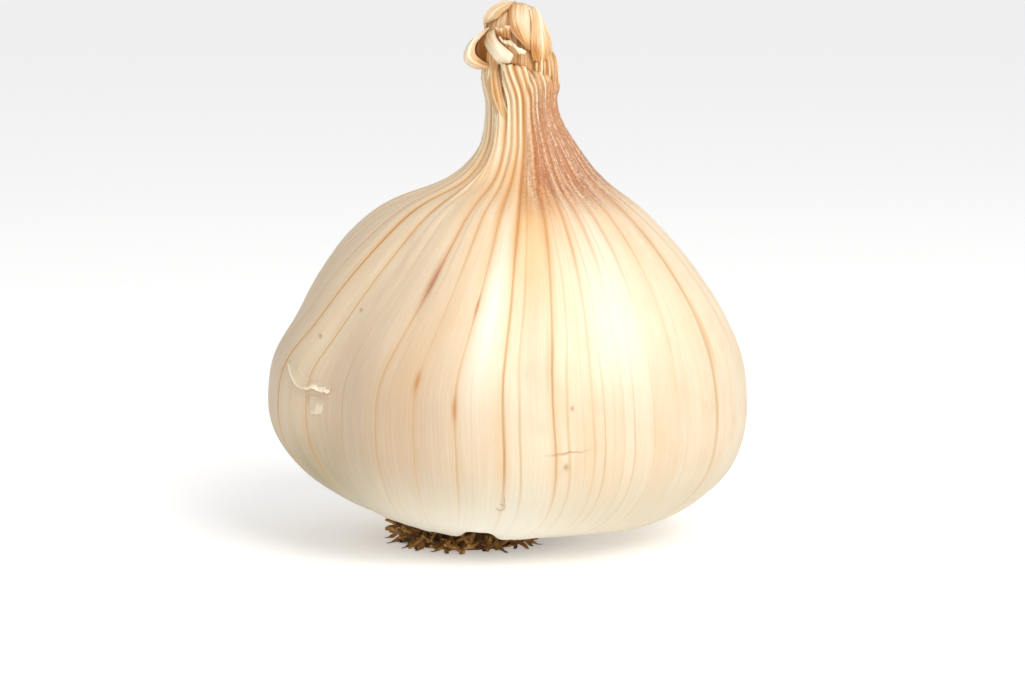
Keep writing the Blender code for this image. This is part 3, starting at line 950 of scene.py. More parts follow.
# %% Making a sheet
def torn(grid, end, depth, seed):
    """The same grid with one of its ends broken: each column stops at a different place."""
    rows, columns = grid.shape[:2]
    made = grid.copy()
    for j in range(columns):
        u = j / (columns - 1)
        cut = abs(noise.noise(Vector((u * 6.0, seed, 0.3))))
        cut += 0.5 * abs(noise.noise(Vector((u * 19.0, seed, 7.1))))
        reach = 1.0 - min(depth * cut * 1.6, 0.8)
        spots = np.linspace(0, reach, rows) if end == "last" else np.linspace(1 - reach, 1, rows)
        for axis in range(grid.shape[2]):
            made[:, j, axis] = np.interp(spots, np.linspace(0, 1, rows), grid[:, j, axis])
    return made


def two_sided(name, outer, inner):
    """A closed thin sheet: a grid of outer points, the same grid of inner ones, and a rim."""
    along, across = outer.shape[:2]
    count = along * across
    index = np.arange(count).reshape(along, across)
    faces = []
    for i in range(along - 1):
        for j in range(across - 1):
            a, b, c, d = index[i, j], index[i, j + 1], index[i + 1, j + 1], index[i + 1, j]
            faces += [(a, b, c, d), (a + count, d + count, c + count, b + count)]
    rim = [*index[0], *index[1:, -1], *index[-1, -2::-1], *index[-2:0:-1, 0]]
    for a, b in zip(rim, rim[1:] + rim[:1]):
        faces.append((b, a, a + count, b + count))
    mesh = bpy.data.meshes.new(name)
    both = np.concatenate([outer.reshape(-1, 3), inner.reshape(-1, 3)])
    mesh.from_pydata(both.tolist(), [], [tuple(int(k) for k in f) for f in faces])
    return mesh, both


def declared(name, mesh, material, nodes=()):
    """Turns the faces outward, and makes the mesh a piece, in place of these frame nodes."""
    work = bmesh.new()
    work.from_mesh(mesh)
    bmesh.ops.recalc_face_normals(work, faces=work.faces)
    work.to_mesh(mesh)
    mesh.materials.append(material)
    mesh.shade_smooth()
    made = linked(name, mesh)
    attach(made, "root")
    if nodes:
        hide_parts(*nodes)
    return made


def sheet(name, rows, nodes, seed, free=False, ribs=9.0, rib_depth=0.16, thick=0.24, tear=0.0,
          tear_first=0.0, size=(44, 64)):
    """A thin ribbed sheet through rows of points, in place of these frame nodes."""
    grid = spread(rows, *size, free)
    if tear:
        grid = torn(grid, "last", tear, seed)
    if tear_first:
        grid = torn(grid, "first", tear_first, seed + 5)
    along, across = grid.shape[:2]
    points, brown_and_shade = grid[..., :3], grid[..., 3]
    normals = grid_normals(points, KNOB_CENTRE)
    u, v = np.meshgrid(np.linspace(0, 1, across), np.linspace(0, 1, along))
    rib = np.zeros_like(u)
    for i in range(along):
        for j in range(across):
            wave = noise.noise(Vector((u[i, j] * ribs, v[i, j] * 1.3, seed)))
            fine = noise.noise(Vector((u[i, j] * ribs * 3.1, v[i, j] * 2.0, seed + 3)))
            lump = noise.noise(Vector((u[i, j] * 2.2, v[i, j] * 3.0, seed + 9)))
            rib[i, j] = wave + 0.4 * fine + 0.9 * lump
    outer = points + normals * (rib * rib_depth * MM)[..., None]
    edge = np.minimum(np.minimum(u, 1 - u) * across, np.minimum(v, 1 - v) * along)
    wall = thick * MM * (0.35 + 0.65 * np.minimum(edge / 4, 1))
    mesh, _ = two_sided(name, outer, outer - normals * wall[..., None])
    wide = np.linalg.norm(np.diff(points[along // 2], axis=0), axis=1).sum() / MM
    long = np.linalg.norm(np.diff(points[:, across // 2], axis=0), axis=1).sum() / MM
    print(f"{name}: {wide:.1f} by {long:.1f} mm, laid flat")
    way = np.stack([u * wide, v * long, np.full_like(u, seed)], axis=2).reshape(-1, 3)
    give(mesh, "fibre_way", np.vstack([way, way]))
    give(mesh, "brown_and_shade", np.concatenate([brown_and_shade.ravel()] * 2))
    return declared(name, mesh, sheath_material, nodes)


# %% [markdown]
# ## The sheaths' finish
#
# A dry sheath is stiffer and browner than the skin. Its fibres run close together along it, some
# bleached and some golden, and it is brownest in its folds, in its hollows, under free edges and at
# its roots, where the brown is partly its own tone and partly painted shade. The colour follows two
# attributes of the mesh: which way the fibres run, and how brown the sheet is at each point, painted
# shade included.

# %% Dry sheath
def dry_sheath():
    made, tree, shader = new_material("dry_sheath")
    way = place(tree, "ShaderNodeAttribute", out=1, attribute_name="fibre_way")
    brown_and_shade = place(tree, "ShaderNodeAttribute", out=2, attribute_name="brown_and_shade")
    place_on = place(tree, "ShaderNodeTexCoord", out=3)
    u, v, own = split(way)
    fibre = grain(tree, vector(tree, u * 3.4, v * 0.16, own), 1.0, 3.0, 0.6)
    strip = grain(tree, vector(tree, u * 1.7, v * 0.12, own), 1.0, 2.0)
    patch = grain(tree, place_on, 380.0, 3.0)
    # The attribute's brown is partly the sheath's own tone and partly painted shade in folds, hollows and
    # under free edges.
    shade = clipped(brown_and_shade + strip * 1.5 + patch * 0.4 + 0.05)
    colour = blend(tree, shade.rise(0.0, 0.55), tint(247, 231, 204), tint(224, 184, 134))
    colour = blend(tree, shade.rise(0.5, 1.0), colour, tint(186, 124, 54))
    colour = blend(tree, clipped(fibre * 1.6), colour, tint(190, 134, 70))
    colour = blend(tree, clipped(fibre * -1.7), colour, tint(255, 243, 220))
    pink = clipped(patch * 2.0 - 0.2) * (1.0 - shade)
    colour = blend(tree, pink * 0.5, colour, tint(236, 200, 172))
    connect(tree, colour, shader.inputs["Base Color"])
    connect(tree, clipped(fibre * 0.3 + 0.55), shader.inputs["Roughness"])
    shader.inputs["Specular IOR Level"].default_value = 0.35
    shader.inputs["Subsurface Weight"].default_value = 0.1
    shader.inputs["Subsurface Radius"].default_value = (1.0, 0.55, 0.28)
    shader.inputs["Subsurface Scale"].default_value = 0.8 * MM
    height = fibre * 0.7 + patch * 0.3
    bump = place(tree, "ShaderNodeBump", {"Height": height, "Strength": 0.7, "Distance": 0.25 * MM})
    connect(tree, bump, shader.inputs["Normal"])
    return made


sheath_material = dry_sheath()

# %% [markdown]
# ## The core of the knob
#
# The core is seen between the sheets as a brown, ribbed bulge, so it has the same fibres. Rays from
# its middle to the frame's core give its grid.

# %% Core
def knob_core(columns=120, rows=64):
    points = np.zeros((rows, columns, 3))
    for i in range(rows):
        tilt = math.radians(-88 + 176 * i / (rows - 1))
        for j in range(columns):
            angle = 2 * math.pi * j / columns
            level = Vector((math.sin(angle), -math.cos(angle), 0.0))
            way = level * math.cos(tilt) + Vector((0.0, 0.0, math.sin(tilt)))
            hit = core_tree.ray_cast(KNOB_CENTRE, way)[0]
            points[i, j] = hit if hit is not None else points[i - 1, j]
    points = smoothed(points, 4)

    # Its foot reaches down inside the collar
    foot = np.clip((61.2 * MM - points[..., 2]) / (2.2 * MM), 0, 1)
    points[..., 2] -= foot**1.5 * 2.6 * MM
    centre = np.array(KNOB_CENTRE)
    out = points - centre
    out /= np.linalg.norm(out, axis=2, keepdims=True)
    for i in range(rows):
        for j in range(columns):
            angle = 2 * math.pi * j / columns
            round_about = Vector((math.cos(angle) * 7.0, math.sin(angle) * 7.0, i / rows * 1.6))
            lump = Vector((math.cos(angle) * 1.2, math.sin(angle) * 1.2, i / rows * 3.0 + 4.0))
            points[i, j] += out[i, j] * (0.16 * noise.noise(round_about) + 0.2 * noise.noise(lump)) * MM
    mesh = bpy.data.meshes.new("knob_core")
    corners = np.vstack([points.reshape(-1, 3), points[0].mean(axis=0), points[-1].mean(axis=0)])
    mesh.from_pydata(corners.tolist(), [], closed_wall(rows, columns))
    angles = np.tile(np.arange(columns) / columns * 28.0, rows)
    climb = np.repeat(np.linspace(0, 9.0, rows), columns)
    way = np.stack([angles, climb, np.full_like(angles, 2.0)], axis=1)
    way = np.vstack([way, [[0, 0, 2.0], [0, 9.0, 2.0]]])
    # Browner towards its foot, deep in the collar and behind the sheets: partly its own tone, partly
    # painted shade.
    brown_and_shade = np.repeat(np.linspace(0.95, 0.35, rows), columns)
    give(mesh, "fibre_way", way)
    give(mesh, "brown_and_shade", np.concatenate([brown_and_shade, [0.9, 0.4]]))
    return declared("knob_core", mesh, sheath_material, ["sheath_core"])


core_piece = knob_core()
print(f"{core_piece.name}: {len(core_piece.data.polygons)} faces")

# %% [markdown]
# ## Eight sheets
#
# From the front the knob shows a striped fold on the left, a tan panel in the middle that ends in a
# point, a broad striped panel on the right with a free lower edge, and a pale tongue across a dark
# hollow, with two broken shreds above it. An ear stands out on the left, open to the front; a dark
# sheet inside it is painted shade for its hollow. The eighth sheet, which closes the back, follows
# with the straps.

# %% Folds and panels
sheet("left_fold", [
    [(2.0, 63.9, 0.30, 0.5), (2.5, 64.4, 0.60, 0.3), (3.4, 64.6, 0.40, 0.7)],
    [(2.0, 65.2, 0.25, 0.3), (3.1, 65.1, 0.85, 0.1), (4.3, 65.0, 0.50, 0.6)],
    [(2.6, 66.4, 0.20, 0.3), (3.8, 65.9, 0.95, 0.1), (4.9, 65.6, 0.50, 0.6)],
    [(3.8, 67.1, 0.15, 0.3), (4.7, 66.6, 0.85, 0.1), (5.6, 66.1, 0.45, 0.5)],
    [(5.2, 67.3, 0.20, 0.2), (5.6, 67.0, 0.60, 0.1), (6.0, 66.6, 0.40, 0.4)],
    [(6.3, 67.4, 0.10, 0.3), (6.4, 67.2, 0.25, 0.2), (6.5, 66.9, 0.15, 0.3)],
], ["sheath_left"], 11.0, ribs=11.0, rib_depth=0.2)
sheet("middle_panel", [
    [(5.8, 66.8, 0.20, 0.6), (6.6, 67.0, 0.20, 0.5), (7.5, 66.9, 0.15, 0.5), (8.4, 66.6, 0.0, 0.6)],
    [(5.6, 66.0, 0.35, 0.9), (6.4, 66.2, 0.50, 0.6), (7.4, 66.2, 0.50, 0.4), (8.5, 65.9, 0.20, 0.6)],
    [(5.7, 64.8, 0.55, 0.9), (6.4, 64.8, 0.70, 0.5), (7.4, 64.8, 0.70, 0.2), (8.5, 64.6, 0.35, 0.5)],
    [(6.0, 63.6, 0.80, 1.0), (6.7, 63.6, 0.90, 0.9), (7.6, 63.5, 0.80, 0.4), (8.5, 63.3, 0.4, 0.9)],
    [(6.9, 62.6, 0.90, 1.0), (7.3, 62.5, 0.95, 0.9), (7.8, 62.3, 0.85, 0.9), (8.4, 62.0, 0.4, 1.0)],
    [(7.6, 61.8, 0.80, 1.0), (7.8, 61.7, 0.80, 0.9), (8.0, 61.6, 0.60, 0.9), (8.3, 61.4, 0.3, 1.0)],
], ["sheath_middle"], 23.0, ribs=6.0, tear=0.04)
sheet("right_panel", [
    [(8.1, 66.4, 0.30, 0.3), (8.5, 66.7, 0.30, 0.1), (9.0, 66.3, 0.15, 0.2), (9.0, 65.8, 0.0, 0.4)],
    [(7.9, 65.6, 0.60, 0.3), (8.7, 65.7, 0.65, 0.1), (9.2, 65.2, 0.35, 0.2), (9.5, 64.6, 0.0, 0.4)],
    [(8.0, 64.3, 0.85, 0.4), (8.8, 64.4, 0.90, 0.1), (9.6, 64.1, 0.50, 0.3), (10.0, 63.5, 0.1, 0.5)],
    [(7.9, 62.8, 0.95, 0.6), (8.9, 62.9, 1.00, 0.3), (10.0, 62.7, 0.60, 0.4), (10.5, 62.2, 0.1, 0.6)],
    [(8.0, 61.6, 0.95, 0.9), (9.0, 61.6, 0.95, 0.6), (10.1, 61.7, 0.65, 0.5), (10.8, 61.7, 0.1, 0.7)],
    [(8.3, 60.4, 0.75, 1.0), (9.1, 60.3, 0.80, 0.9), (10.1, 60.8, 0.60, 0.8), (10.8, 61.4, 0.1, 0.9)],
], ["sheath_right"], 37.0, ribs=12.0, rib_depth=0.24, tear=0.05, size=(56, 72))
print("left fold, middle panel and right panel")

# %% Tongue and shreds
sheet("tongue", [
    [(2.5, 62.8, 0.45, 0.9), (3.4, 63.4, 0.60, 0.6), (4.1, 63.8, 0.50, 0.4)],
    [(3.2, 62.2, 0.80, 0.5), (4.0, 62.7, 1.10, 0.2), (4.5, 63.1, 0.95, 0.3)],
    [(3.9, 61.5, 1.10, 0.3), (4.7, 62.1, 1.50, 0.1), (5.1, 62.5, 1.30, 0.1)],
    [(4.6, 60.8, 1.35, 0.2), (5.3, 61.5, 1.75, 0.0), (5.8, 62.0, 1.55, 0.0)],
    [(5.2, 60.4, 1.40, 0.2), (5.8, 61.0, 1.75, 0.0), (6.2, 61.6, 1.50, 0.1)],
    [(5.65, 60.35, 1.15, 0.3), (6.0, 60.7, 1.35, 0.1), (6.25, 61.2, 1.15, 0.2)],
], ["sheath_tongue"], 41.0, ribs=3.0, rib_depth=0.12, thick=0.30, tear=0.03)
sheet("upper_shred", [
    [(4.4, 64.0, 0.90, 0.1), (4.9, 63.8, 1.05, 0.0), (5.4, 64.2, 1.05, 0.0), (5.9, 64.2, 0.85, 0.1)],
    [(4.4, 63.7, 0.70, 0.6), (4.9, 63.5, 0.75, 0.7), (5.4, 63.7, 0.70, 0.8), (5.9, 63.7, 0.65, 0.8)],
    [(4.4, 63.0, 0.35, 1.1), (4.8, 62.9, 0.35, 1.1), (5.3, 62.8, 0.35, 1.1), (5.8, 62.8, 0.35, 1.1)],
], ["sheath_shred_1"], 53.0, ribs=3.0, tear_first=0.30, rib_depth=0.08, size=(44, 24))
sheet("lower_shred", [
    [(4.8, 63.2, 0.95, 0.1), (5.4, 62.8, 1.05, 0.0), (6.0, 62.8, 1.15, 0.0),
     (6.6, 62.3, 1.25, 0.0), (7.5, 61.8, 1.15, 0.1)],
    [(4.9, 62.8, 0.90, 0.2), (5.5, 62.4, 0.95, 0.2), (6.1, 62.3, 1.10, 0.1),
     (6.7, 61.9, 1.30, 0.0), (7.4, 61.6, 1.2, 0.1)],
    [(5.0, 62.4, 0.60, 0.8), (5.6, 62.0, 0.65, 0.7), (6.2, 61.9, 0.90, 0.3),
     (6.8, 61.4, 1.10, 0.1), (7.3, 61.3, 1.0, 0.2)],
], ["sheath_shred_2"], 59.0, ribs=4.0, tear_first=0.35, tear=0.2, rib_depth=0.10, size=(60, 28))
print("tongue and two shreds")

# %% Ear
sheet("ear", [
    [(3.1, -1.6, 64.05, 0.2), (2.6, -1.9, 63.75, 0.1), (2.2, -1.3, 63.35, 0.3), (2.3, -0.2, 63.15, 0.6)],
    [(2.2, -1.8, 63.05, 0.2), (1.3, -2.1, 62.75, 0.0), (0.8, -1.1, 62.35, 0.2), (1.5, 0.6, 62.35, 0.4)],
    [(1.4, -1.8, 61.95, 0.4), (0.5, -2.1, 61.55, 0.0), (0.1, -0.7, 61.15, 0.2), (1.0, 1.3, 61.35, 0.4)],
    [(1.4, -1.8, 60.85, 0.6), (0.4, -2.1, 60.25, 0.1), (0.1, -0.7, 59.95, 0.3), (1.1, 1.4, 60.15, 0.4)],
    [(2.3, -1.8, 60.05, 0.8), (1.6, -2.0, 59.35, 0.3), (1.3, -0.7, 59.05, 0.4), (1.7, 1.0, 59.45, 0.5)],
    [(3.4, -2.0, 59.55, 0.8), (3.1, -2.1, 59.05, 0.5), (2.8, -0.9, 58.85, 0.5), (2.8, 0.6, 59.15, 0.6)],
], ["sheath_ear"], 67.0, free=True, ribs=3.0, rib_depth=0.10, thick=0.30)
# A dark sheet in the ear's hollow: painted shade.
sheet("ear_lining_painted_shade", [
    [(2.8, -0.4, 63.65, 0.8), (2.4, 0.1, 63.45, 1.0), (1.8, 0.4, 63.15, 1.0)],
    [(3.2, -1.2, 62.65, 0.9), (2.1, -0.2, 62.15, 1.1), (1.0, 0.6, 62.00, 1.1)],
    [(3.4, -1.8, 61.15, 0.9), (2.1, -0.7, 60.75, 1.1), (0.7, 0.5, 60.70, 1.1)],
    [(3.7, -2.3, 59.75, 0.7), (2.8, -1.5, 59.50, 0.9), (1.6, 0.0, 59.45, 1.0)],
], [], 71.0, free=True, ribs=7.0, rib_depth=0.16, thick=0.25)
print("ear and its lining")

# %% [markdown]
# ## Straps and fibres between the knob and the collar
#
# On the left a smooth tan strap runs from the knob down into the neck, and on the right, under the
# panel's free edge, a row of stiff fibres goes into the collar. Both are narrow sheets whose ends
# are hidden inside their neighbours. Behind, one broad sheet hangs from the top over the collar.

# %% Straps and fibres
FIBRE_COUNT = 9
skin_points = [v.co for v in wrapper.data.vertices]
skin_tree = BVHTree.FromPolygons(skin_points, [tuple(p.vertices) for p in wrapper.data.polygons])


def on_skin(x, z, lift, side=-1):
    """A point of the skin's front, or with side 1 its back, in millimetres, moved out by the lift."""
    start = Vector((x * MM, side * 0.08, z * MM))
    hit, normal = skin_tree.ray_cast(start, Vector((0, -side, 0)))[:2]
    return [v / MM for v in hit + normal * lift * MM]


def strap_row(x_left, x_right, z, lift, tan_and_shade, count=4):
    """A row of points across the front of the neck, the last one tucked into a groove."""
    row = []
    for k in range(count):
        x = x_left + (x_right - x_left) * k / (count - 1)
        row.append((*on_skin(x, z, lift * (1.0 - 0.8 * (k == count - 1))), tan_and_shade))
    return row


def back_row(z, lift, tan_and_shade):
    """A row of points behind the collar."""
    return [(*on_skin(x, z, lift, side=1)[:2], z, tan_and_shade) for x in (3.6, 4.9, 7.0, 9.1, 10.4)]


sheet("back_sheet", [
    back_row(56.6, 0.10, 0.5),
    back_row(58.2, 0.80, 0.3),
    [(2.8, 1.9, 60.2, 0.3), (4.3, 4.4, 60.0, 0.2), (7.0, 5.5, 59.8, 0.1),
     (9.5, 4.6, 59.6, 0.2), (11.0, 2.3, 59.6, 0.4)],
    [(2.6, 1.1, 62.4, 0.3), (4.2, 3.5, 62.3, 0.1), (6.9, 4.45, 62.1, 0.0),
     (9.5, 3.7, 61.8, 0.1), (10.9, 1.7, 61.4, 0.3)],
    [(2.5, 0.9, 64.5, 0.3), (4.1, 3.1, 64.6, 0.1), (6.9, 4.0, 64.5, 0.0),
     (9.3, 3.1, 64.3, 0.1), (10.2, 1.4, 63.9, 0.3)],
    [(3.1, 0.8, 65.8, 0.3), (4.5, 2.4, 66.0, 0.1), (6.8, 3.0, 66.2, 0.0),
     (8.6, 2.2, 66.0, 0.1), (9.4, 0.9, 65.4, 0.3)],
    [(4.6, 0.5, 66.6, 0.4), (5.4, 1.2, 66.8, 0.2), (6.7, 1.5, 66.95, 0.2),
     (7.9, 1.1, 66.7, 0.2), (8.5, 0.5, 66.3, 0.4)],
    [(5.4, -0.9, 66.8, 0.5), (6.0, -0.9, 66.95, 0.4), (6.8, -0.9, 67.0, 0.5),
     (7.6, -0.9, 66.85, 0.4), (8.3, -0.9, 66.5, 0.5)],
    [(5.5, -2.1, 66.3, 0.6), (6.2, -2.2, 66.4, 0.6), (6.9, -2.2, 66.45, 0.6),
     (7.6, -2.2, 66.3, 0.6), (8.2, -2.1, 66.0, 0.6)],
], ["sheath_back"], 83.0, free=True, ribs=9.0, rib_depth=0.13, tear_first=0.07, size=(64, 84))

sheet("neck_strap", [
    [(3.0, -1.9, 62.6, 0.8), (3.5, -2.3, 62.5, 0.6), (4.2, -2.7, 62.3, 0.7), (4.9, -3.0, 62.0, 0.9)],
    [(2.8, -2.4, 61.0, 0.7), (3.3, -2.9, 60.8, 0.6), (4.0, -3.3, 60.6, 0.6), (4.7, -3.6, 60.4, 0.8)],
    strap_row(2.7, 4.4, 59.2, 0.34, 0.6),
    strap_row(2.9, 4.6, 57.6, 0.34, 0.6),
    strap_row(3.1, 4.9, 55.9, 0.30, 0.6),
    strap_row(3.6, 5.3, 54.2, 0.22, 0.55),
    strap_row(4.3, 5.6, 52.6, -0.2, 0.5),
], [], 91.0, free=True, ribs=5.0, rib_depth=0.12, thick=0.2, tear=0.12)

for k in range(FIBRE_COUNT):
    top_x, top_y = 8.9 + 0.27 * k, -3.5 + 0.088 * k**1.35
    lean = 0.05 * k + 0.10 * noise.noise(Vector((k * 1.7, 2.2, 0.4)))
    half = 0.15 + 0.06 * noise.noise(Vector((k * 2.3, 9.1, 0.4)))
    shade = 0.4 + 0.5 * (k % 3 == 1)
    rows = []
    for out_x, out_y, z, brown_and_shade in (
        (-0.07 * k, 0.9, 61.4, 0.8),
        (lean * 0.3, 0.15, 60.5, shade),
        (lean, -0.35, 59.4 - 0.05 * k, shade),
        (lean, 0.2, 58.2 - 0.17 * k, 0.6),
    ):
        x, y = top_x + out_x, top_y + out_y
        rows.append([(x - half, y, z, brown_and_shade), (x + half, y, z, brown_and_shade)])
    sheet(f"fibre_{k + 1}", rows, [], 101.0 + k, free=True, ribs=2.0, rib_depth=0.04, thick=0.16,
          size=(7, 24))
print("the back sheet, one strap and nine fibres")

# %% [markdown]
# ## A torn flap of skin
#
# Low on the left the outer skin has torn and lifted: a crisp lip, a crumpled fold below it, and a
# second, smaller tear under that. The flap is a sheet laid on the skin itself. It takes each
# point's strand from the skin beneath, so that the veins run on across it.

# %% Flap
def torn_flap(name, rows, across, along, crumple, tear, seed, lip_paleness_and_highlight, thick=0.16):
    """A thin torn piece of skin through rows of (x, z, lift) on the skin, its last row free."""
    placed = []
    for row in rows:
        spots = [on_skin(x, z, lift) for x, z, lift in row]
        placed.append(curve_through(spots, across))
    placed = np.array(placed)
    points = curve_through(placed.reshape(len(rows), -1), along).reshape(along, across, 3) * MM
    points = torn(points, "last", tear, seed)
    normals = grid_normals(points, (5 * MM, 0.0, 20 * MM))
    for i in range(along):
        for j in range(across):
            spot = Vector(points[i, j])
            rough = noise.noise(spot * 900 + Vector((seed, 0, 0))) + 0.5 * noise.noise(spot * 2100)
            crumpled = crumple * ramp(j / (across - 1), 0.45, 0.65) + 0.02
            points[i, j] += normals[i, j] * rough * crumpled * MM * (i / (along - 1)) ** 3
    mesh, both = two_sided(name, points, points - normals * thick * MM)
    skin = wrapper.data
    strands = np.zeros((len(both), 3))
    girths = np.zeros(len(both))
    for k, spot in enumerate(both):
        face = skin_tree.find_nearest(Vector(spot))[2]
        corner = skin.polygons[face].vertices[0]
        strands[k] = skin.attributes["strand"].data[corner].vector
        girths[k] = skin.attributes["girth"].data[corner].value

    # Its pale edge, partly a painted highlight, is narrow along the lip and broad where it is crumpled
    shares, heights = np.meshgrid(np.linspace(0, 1, across), np.linspace(0, 1, along))
    uneven = 0.30 + 0.05 * np.sin(shares * 31) + 0.04 * np.sin(shares * 73)
    breadth = 0.08 + uneven * ramp(shares, 0.5, 0.6)
    edge = lip_paleness_and_highlight * ramp(heights, 1 - breadth * 1.2, 1 - breadth * 0.9)
    give(mesh, "strand", strands)
    give(mesh, "girth", girths)
    give(mesh, "pale_lip_and_highlight", np.concatenate([edge.ravel()] * 2))
    return declared(name, mesh, skin_material)


flap = torn_flap("torn_flap", [
    [(-20.2, 25.2, -0.3), (-19.3, 24.2, -0.3), (-18.5, 23.3, -0.3), (-17.8, 23.2, -0.3),
     (-17.1, 23.1, -0.3), (-16.2, 23.0, -0.3), (-15.6, 22.8, -0.3)],
    [(-20.6, 24.8, -0.12), (-19.7, 23.7, 0.02), (-19.0, 22.7, 0.06), (-18.3, 22.5, 0.06),
     (-17.5, 22.5, 0.06), (-16.5, 22.4, 0.04), (-15.7, 22.2, 0.0)],
    [(-21.0, 24.3, 0.0), (-20.2, 23.1, 0.18), (-19.4, 22.0, 0.28), (-18.7, 21.8, 0.30),
     (-17.8, 21.9, 0.32), (-16.6, 21.8, 0.34), (-15.7, 21.6, 0.3)],
    [(-21.3, 23.8, 0.20), (-20.6, 22.6, 0.42), (-19.9, 21.7, 0.48), (-19.1, 21.4, 0.50),
     (-18.1, 21.6, 0.66), (-16.9, 21.5, 0.62), (-15.9, 21.4, 0.6)],
], across=64, along=36, crumple=0.45, tear=0.03, seed=5.0, lip_paleness_and_highlight=1.0)
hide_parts("skin_flap")
torn_flap("lower_tear", [
    [(-19.2, 21.3, -0.20), (-18.4, 21.3, -0.10), (-17.6, 21.3, -0.10), (-16.2, 21.2, -0.20)],
    [(-19.2, 20.5, -0.15), (-18.4, 20.5, 0.06), (-17.4, 20.5, 0.08), (-16.2, 20.4, -0.15)],
    [(-19.0, 19.6, -0.15), (-18.2, 19.5, 0.10), (-17.3, 19.5, 0.12), (-16.3, 19.5, -0.15)],
    [(-18.5, 18.7, -0.10), (-18.0, 18.4, 0.12), (-17.3, 18.4, 0.14), (-16.7, 18.8, -0.10)],
], across=36, along=36, crumple=0.2, tear=0.16, seed=9.0, lip_paleness_and_highlight=0.45)
print(f"flap: {len(flap.data.polygons)} faces")

# %% [markdown]
# ## The trimmed roots
#
# The roots were cut to stubs a few millimetres long. They are dry, brown and curled, and so many
# that they hide the plate they grow from. A Geometry Nodes tree makes one stub as a bent, tapering
# tube and sets a turned and scaled copy on each of nearly two hundred points round the plate, and
# then noise bends them all a little differently.

# %% Where roots start
ROOT_TOTAL = 190
rng = np.random.default_rng(8)
plate_low, plate_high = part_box("root_plate")
plate_centre = (Vector(plate_low) + Vector(plate_high)) / 2
root_starts, root_ways = [], []
for k in range(ROOT_TOTAL):
    turn = k * math.pi * (3 - math.sqrt(5)) + rng.uniform(-0.2, 0.2)
    tier = rng.uniform(0, 1)
    out = (7.2 + 0.6 * rng.uniform(-1, 1) - 0.5 * tier) * MM
    up = (0.45 + 2.0 * tier) * MM
    start = plate_centre + out * Vector((math.sin(turn), -math.cos(turn), 0.0))
    start.z = up
    root_starts.append(start)
    tilt = rng.uniform(-0.5, 0.3) - 0.4 * tier
    swing = rng.uniform(-1.3, 1.3)
    root_ways.append(Vector((math.sin(turn + swing), -math.cos(turn + swing), tilt)).normalized())

brush_mesh = bpy.data.meshes.new("root_brush")
brush_mesh.from_pydata([tuple(p) for p in root_starts], [], [])
give(brush_mesh, "way", [tuple(w) for w in root_ways])
brush = linked("root_brush", brush_mesh)
print(f"{ROOT_TOTAL} roots start round the plate")


# %% Root finishes
def dry_root():
    made, tree, shader = new_material("dry_root")
    place_on = place(tree, "ShaderNodeTexCoord", out=3)
    fine = grain(tree, place_on, 1800.0, 3.0, 0.6)
    patch = grain(tree, place_on, 420.0, 2.0)
    # Golden patches and bright and dark flecks: partly the roots' own colour and grain, partly painted
    # highlights and painted shade in the crevices.
    colour = blend(tree, clipped(patch * 2.2 + 0.45), tint(118, 78, 32), tint(204, 152, 82))
    colour = blend(tree, clipped(fine * 3.0), colour, tint(240, 196, 124))
    colour = blend(tree, clipped(fine * -2.0), colour, tint(60, 36, 12))
    connect(tree, colour, shader.inputs["Base Color"])
    shader.inputs["Roughness"].default_value = 0.72
    bump = place(tree, "ShaderNodeBump", {"Height": fine, "Strength": 0.9, "Distance": 0.15 * MM})
    connect(tree, bump, shader.inputs["Normal"])
    return made


def root_cork():
    made, tree, shader = new_material("root_cork")
    place_on = place(tree, "ShaderNodeTexCoord", out=3)
    fine = grain(tree, place_on, 1300.0, 4.0, 0.65)
    crack = clipped(grain(tree, place_on, 620.0, 3.0, 0.7) * 4.0)
    # Dark brown: partly the plate's own colour, partly painted shade for the gaps between the roots.
    colour = blend(tree, clipped(fine * 2.0 + 0.5), tint(62, 38, 16), tint(128, 88, 44))
    colour = blend(tree, crack * 0.7, colour, tint(36, 22, 9))
    connect(tree, colour, shader.inputs["Base Color"])
    shader.inputs["Roughness"].default_value = 0.85
    height = fine * 0.6 - crack * 0.5
    bump = place(tree, "ShaderNodeBump", {"Height": height, "Strength": 0.8, "Distance": 0.25 * MM})
    connect(tree, bump, shader.inputs["Normal"])
    return made


root_material, cork_material = dry_root(), root_cork()


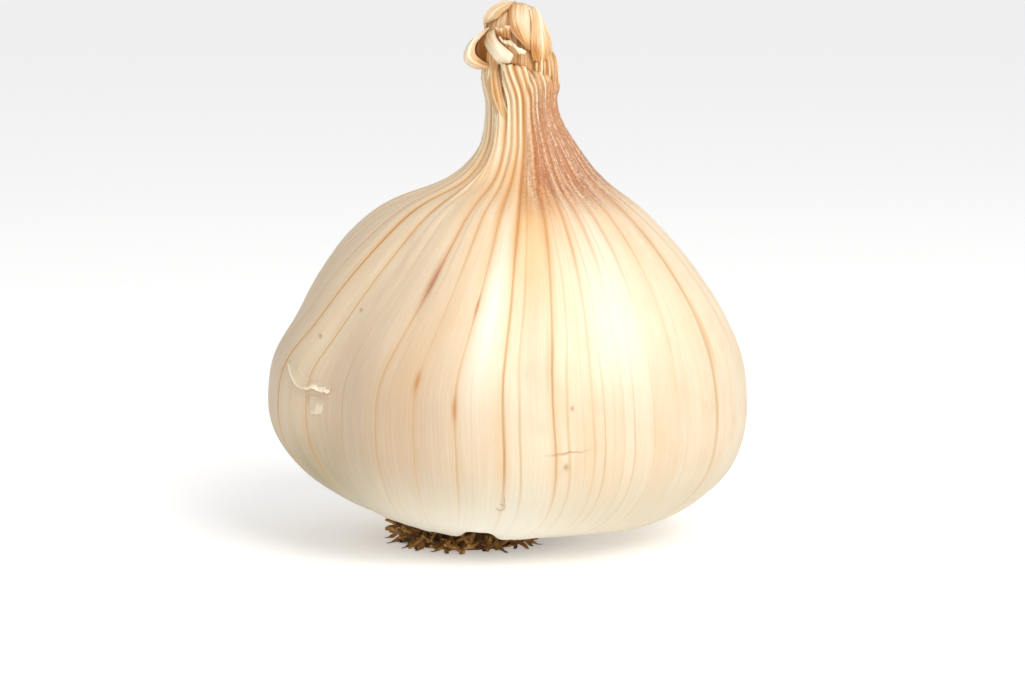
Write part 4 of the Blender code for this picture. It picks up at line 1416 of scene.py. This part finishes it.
# %% The root tree
def brush_tree():
    floats = "NodeSocketFloat"
    inputs = {
        "Length": (floats, 2.8 * MM),
        "Thickness": (floats, 0.34 * MM),
        "Curl": (floats, 1.9 * MM),
        "Unevenness": (floats, 0.6 * MM),
        "Seed": ("NodeSocketInt", 5),
    }
    tree, term, end = new_tree("root_stubs", inputs)
    tip = vector(tree, 0.0, 0.0, term["Length"])
    line = place(tree, "GeometryNodeCurvePrimitiveLine", {"End": tip})
    steps = place(tree, "GeometryNodeResampleCurve", {"Curve": line, "Count": 8})
    along = place(tree, "GeometryNodeSplineParameter")
    bend = vector(tree, along * along * term["Curl"], 0.0, 0.0)
    bent = place(tree, "GeometryNodeSetPosition", {"Geometry": steps, "Offset": bend})
    taper = 1.0 - along * 0.45
    circle = {"Resolution": 7, "Radius": term["Thickness"]}
    ring = place(tree, "GeometryNodeCurvePrimitiveCircle", circle)
    tube = {"Curve": bent, "Profile Curve": ring, "Scale": taper, "Fill Caps": True}
    stub = place(tree, "GeometryNodeCurveToMesh", tube)
    way = attribute(tree, "way", "FLOAT_VECTOR")
    aimed = place(tree, "FunctionNodeAlignRotationToVector", {"Vector": way}, axis="Z")
    chances = {"out": 1, "data_type": "FLOAT"}
    roll = place(tree, "FunctionNodeRandomValue", {"Max": TURN, "Seed": term["Seed"]}, **chances)
    spin = place(tree, "FunctionNodeAxisAngleToRotation", {"Axis": (0.0, 0.0, 1.0), "Angle": roll})
    both = {"Rotation": aimed, "Rotate By": spin}
    turned = place(tree, "FunctionNodeRotateRotation", both, rotation_space="LOCAL")
    sizes = {"Min": 0.6, "Max": 1.25, "Seed": term["Seed"]}
    size = place(tree, "FunctionNodeRandomValue", sizes, **chances)
    inputs = {"Points": term["Geometry"], "Instance": stub, "Rotation": turned, "Scale": size}
    many = place(tree, "GeometryNodeInstanceOnPoints", inputs)
    real = place(tree, "GeometryNodeRealizeInstances", {"Geometry": many})
    spot = place(tree, "GeometryNodeInputPosition")
    wild = place(tree, "ShaderNodeTexNoise", {"Vector": spot, "Scale": 420.0, "Detail": 2.0}, out=1)
    centred = place(tree, "ShaderNodeVectorMath", {0: wild, 1: (0.5, 0.5, 0.5)}, operation="SUBTRACT")
    push = place(tree, "ShaderNodeVectorMath", {0: centred, "Scale": term["Unevenness"]}, operation="SCALE")
    uneven = place(tree, "GeometryNodeSetPosition", {"Geometry": real, "Offset": push})
    smooth = place(tree, "GeometryNodeSetShadeSmooth", {"Geometry": uneven})
    dressed = place(tree, "GeometryNodeSetMaterial", {"Geometry": smooth, "Material": root_material})
    tree.links.new(dressed.socket, end.inputs[0])
    return tree


run_tree(brush, brush_tree(), {"Seed": 5})
for vertex in brush.data.vertices:  # nothing goes through the table
    vertex.co.z = max(vertex.co.z, 0.03 * MM)
root_nodes = [n for n in frame["nodes"] if n.startswith("root_") and n != "root_plate"]
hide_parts(*root_nodes)
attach(brush, "root")
print(f"{len(root_starts)} roots, {len(brush.data.polygons)} faces, in place of {len(root_nodes)} nodes")

# %% The plate keeps its frame node, with a corky finish
plate = frame["nodes"]["root_plate"]
plate.data.materials.clear()
plate.data.materials.append(cork_material)
print("root plate finished")
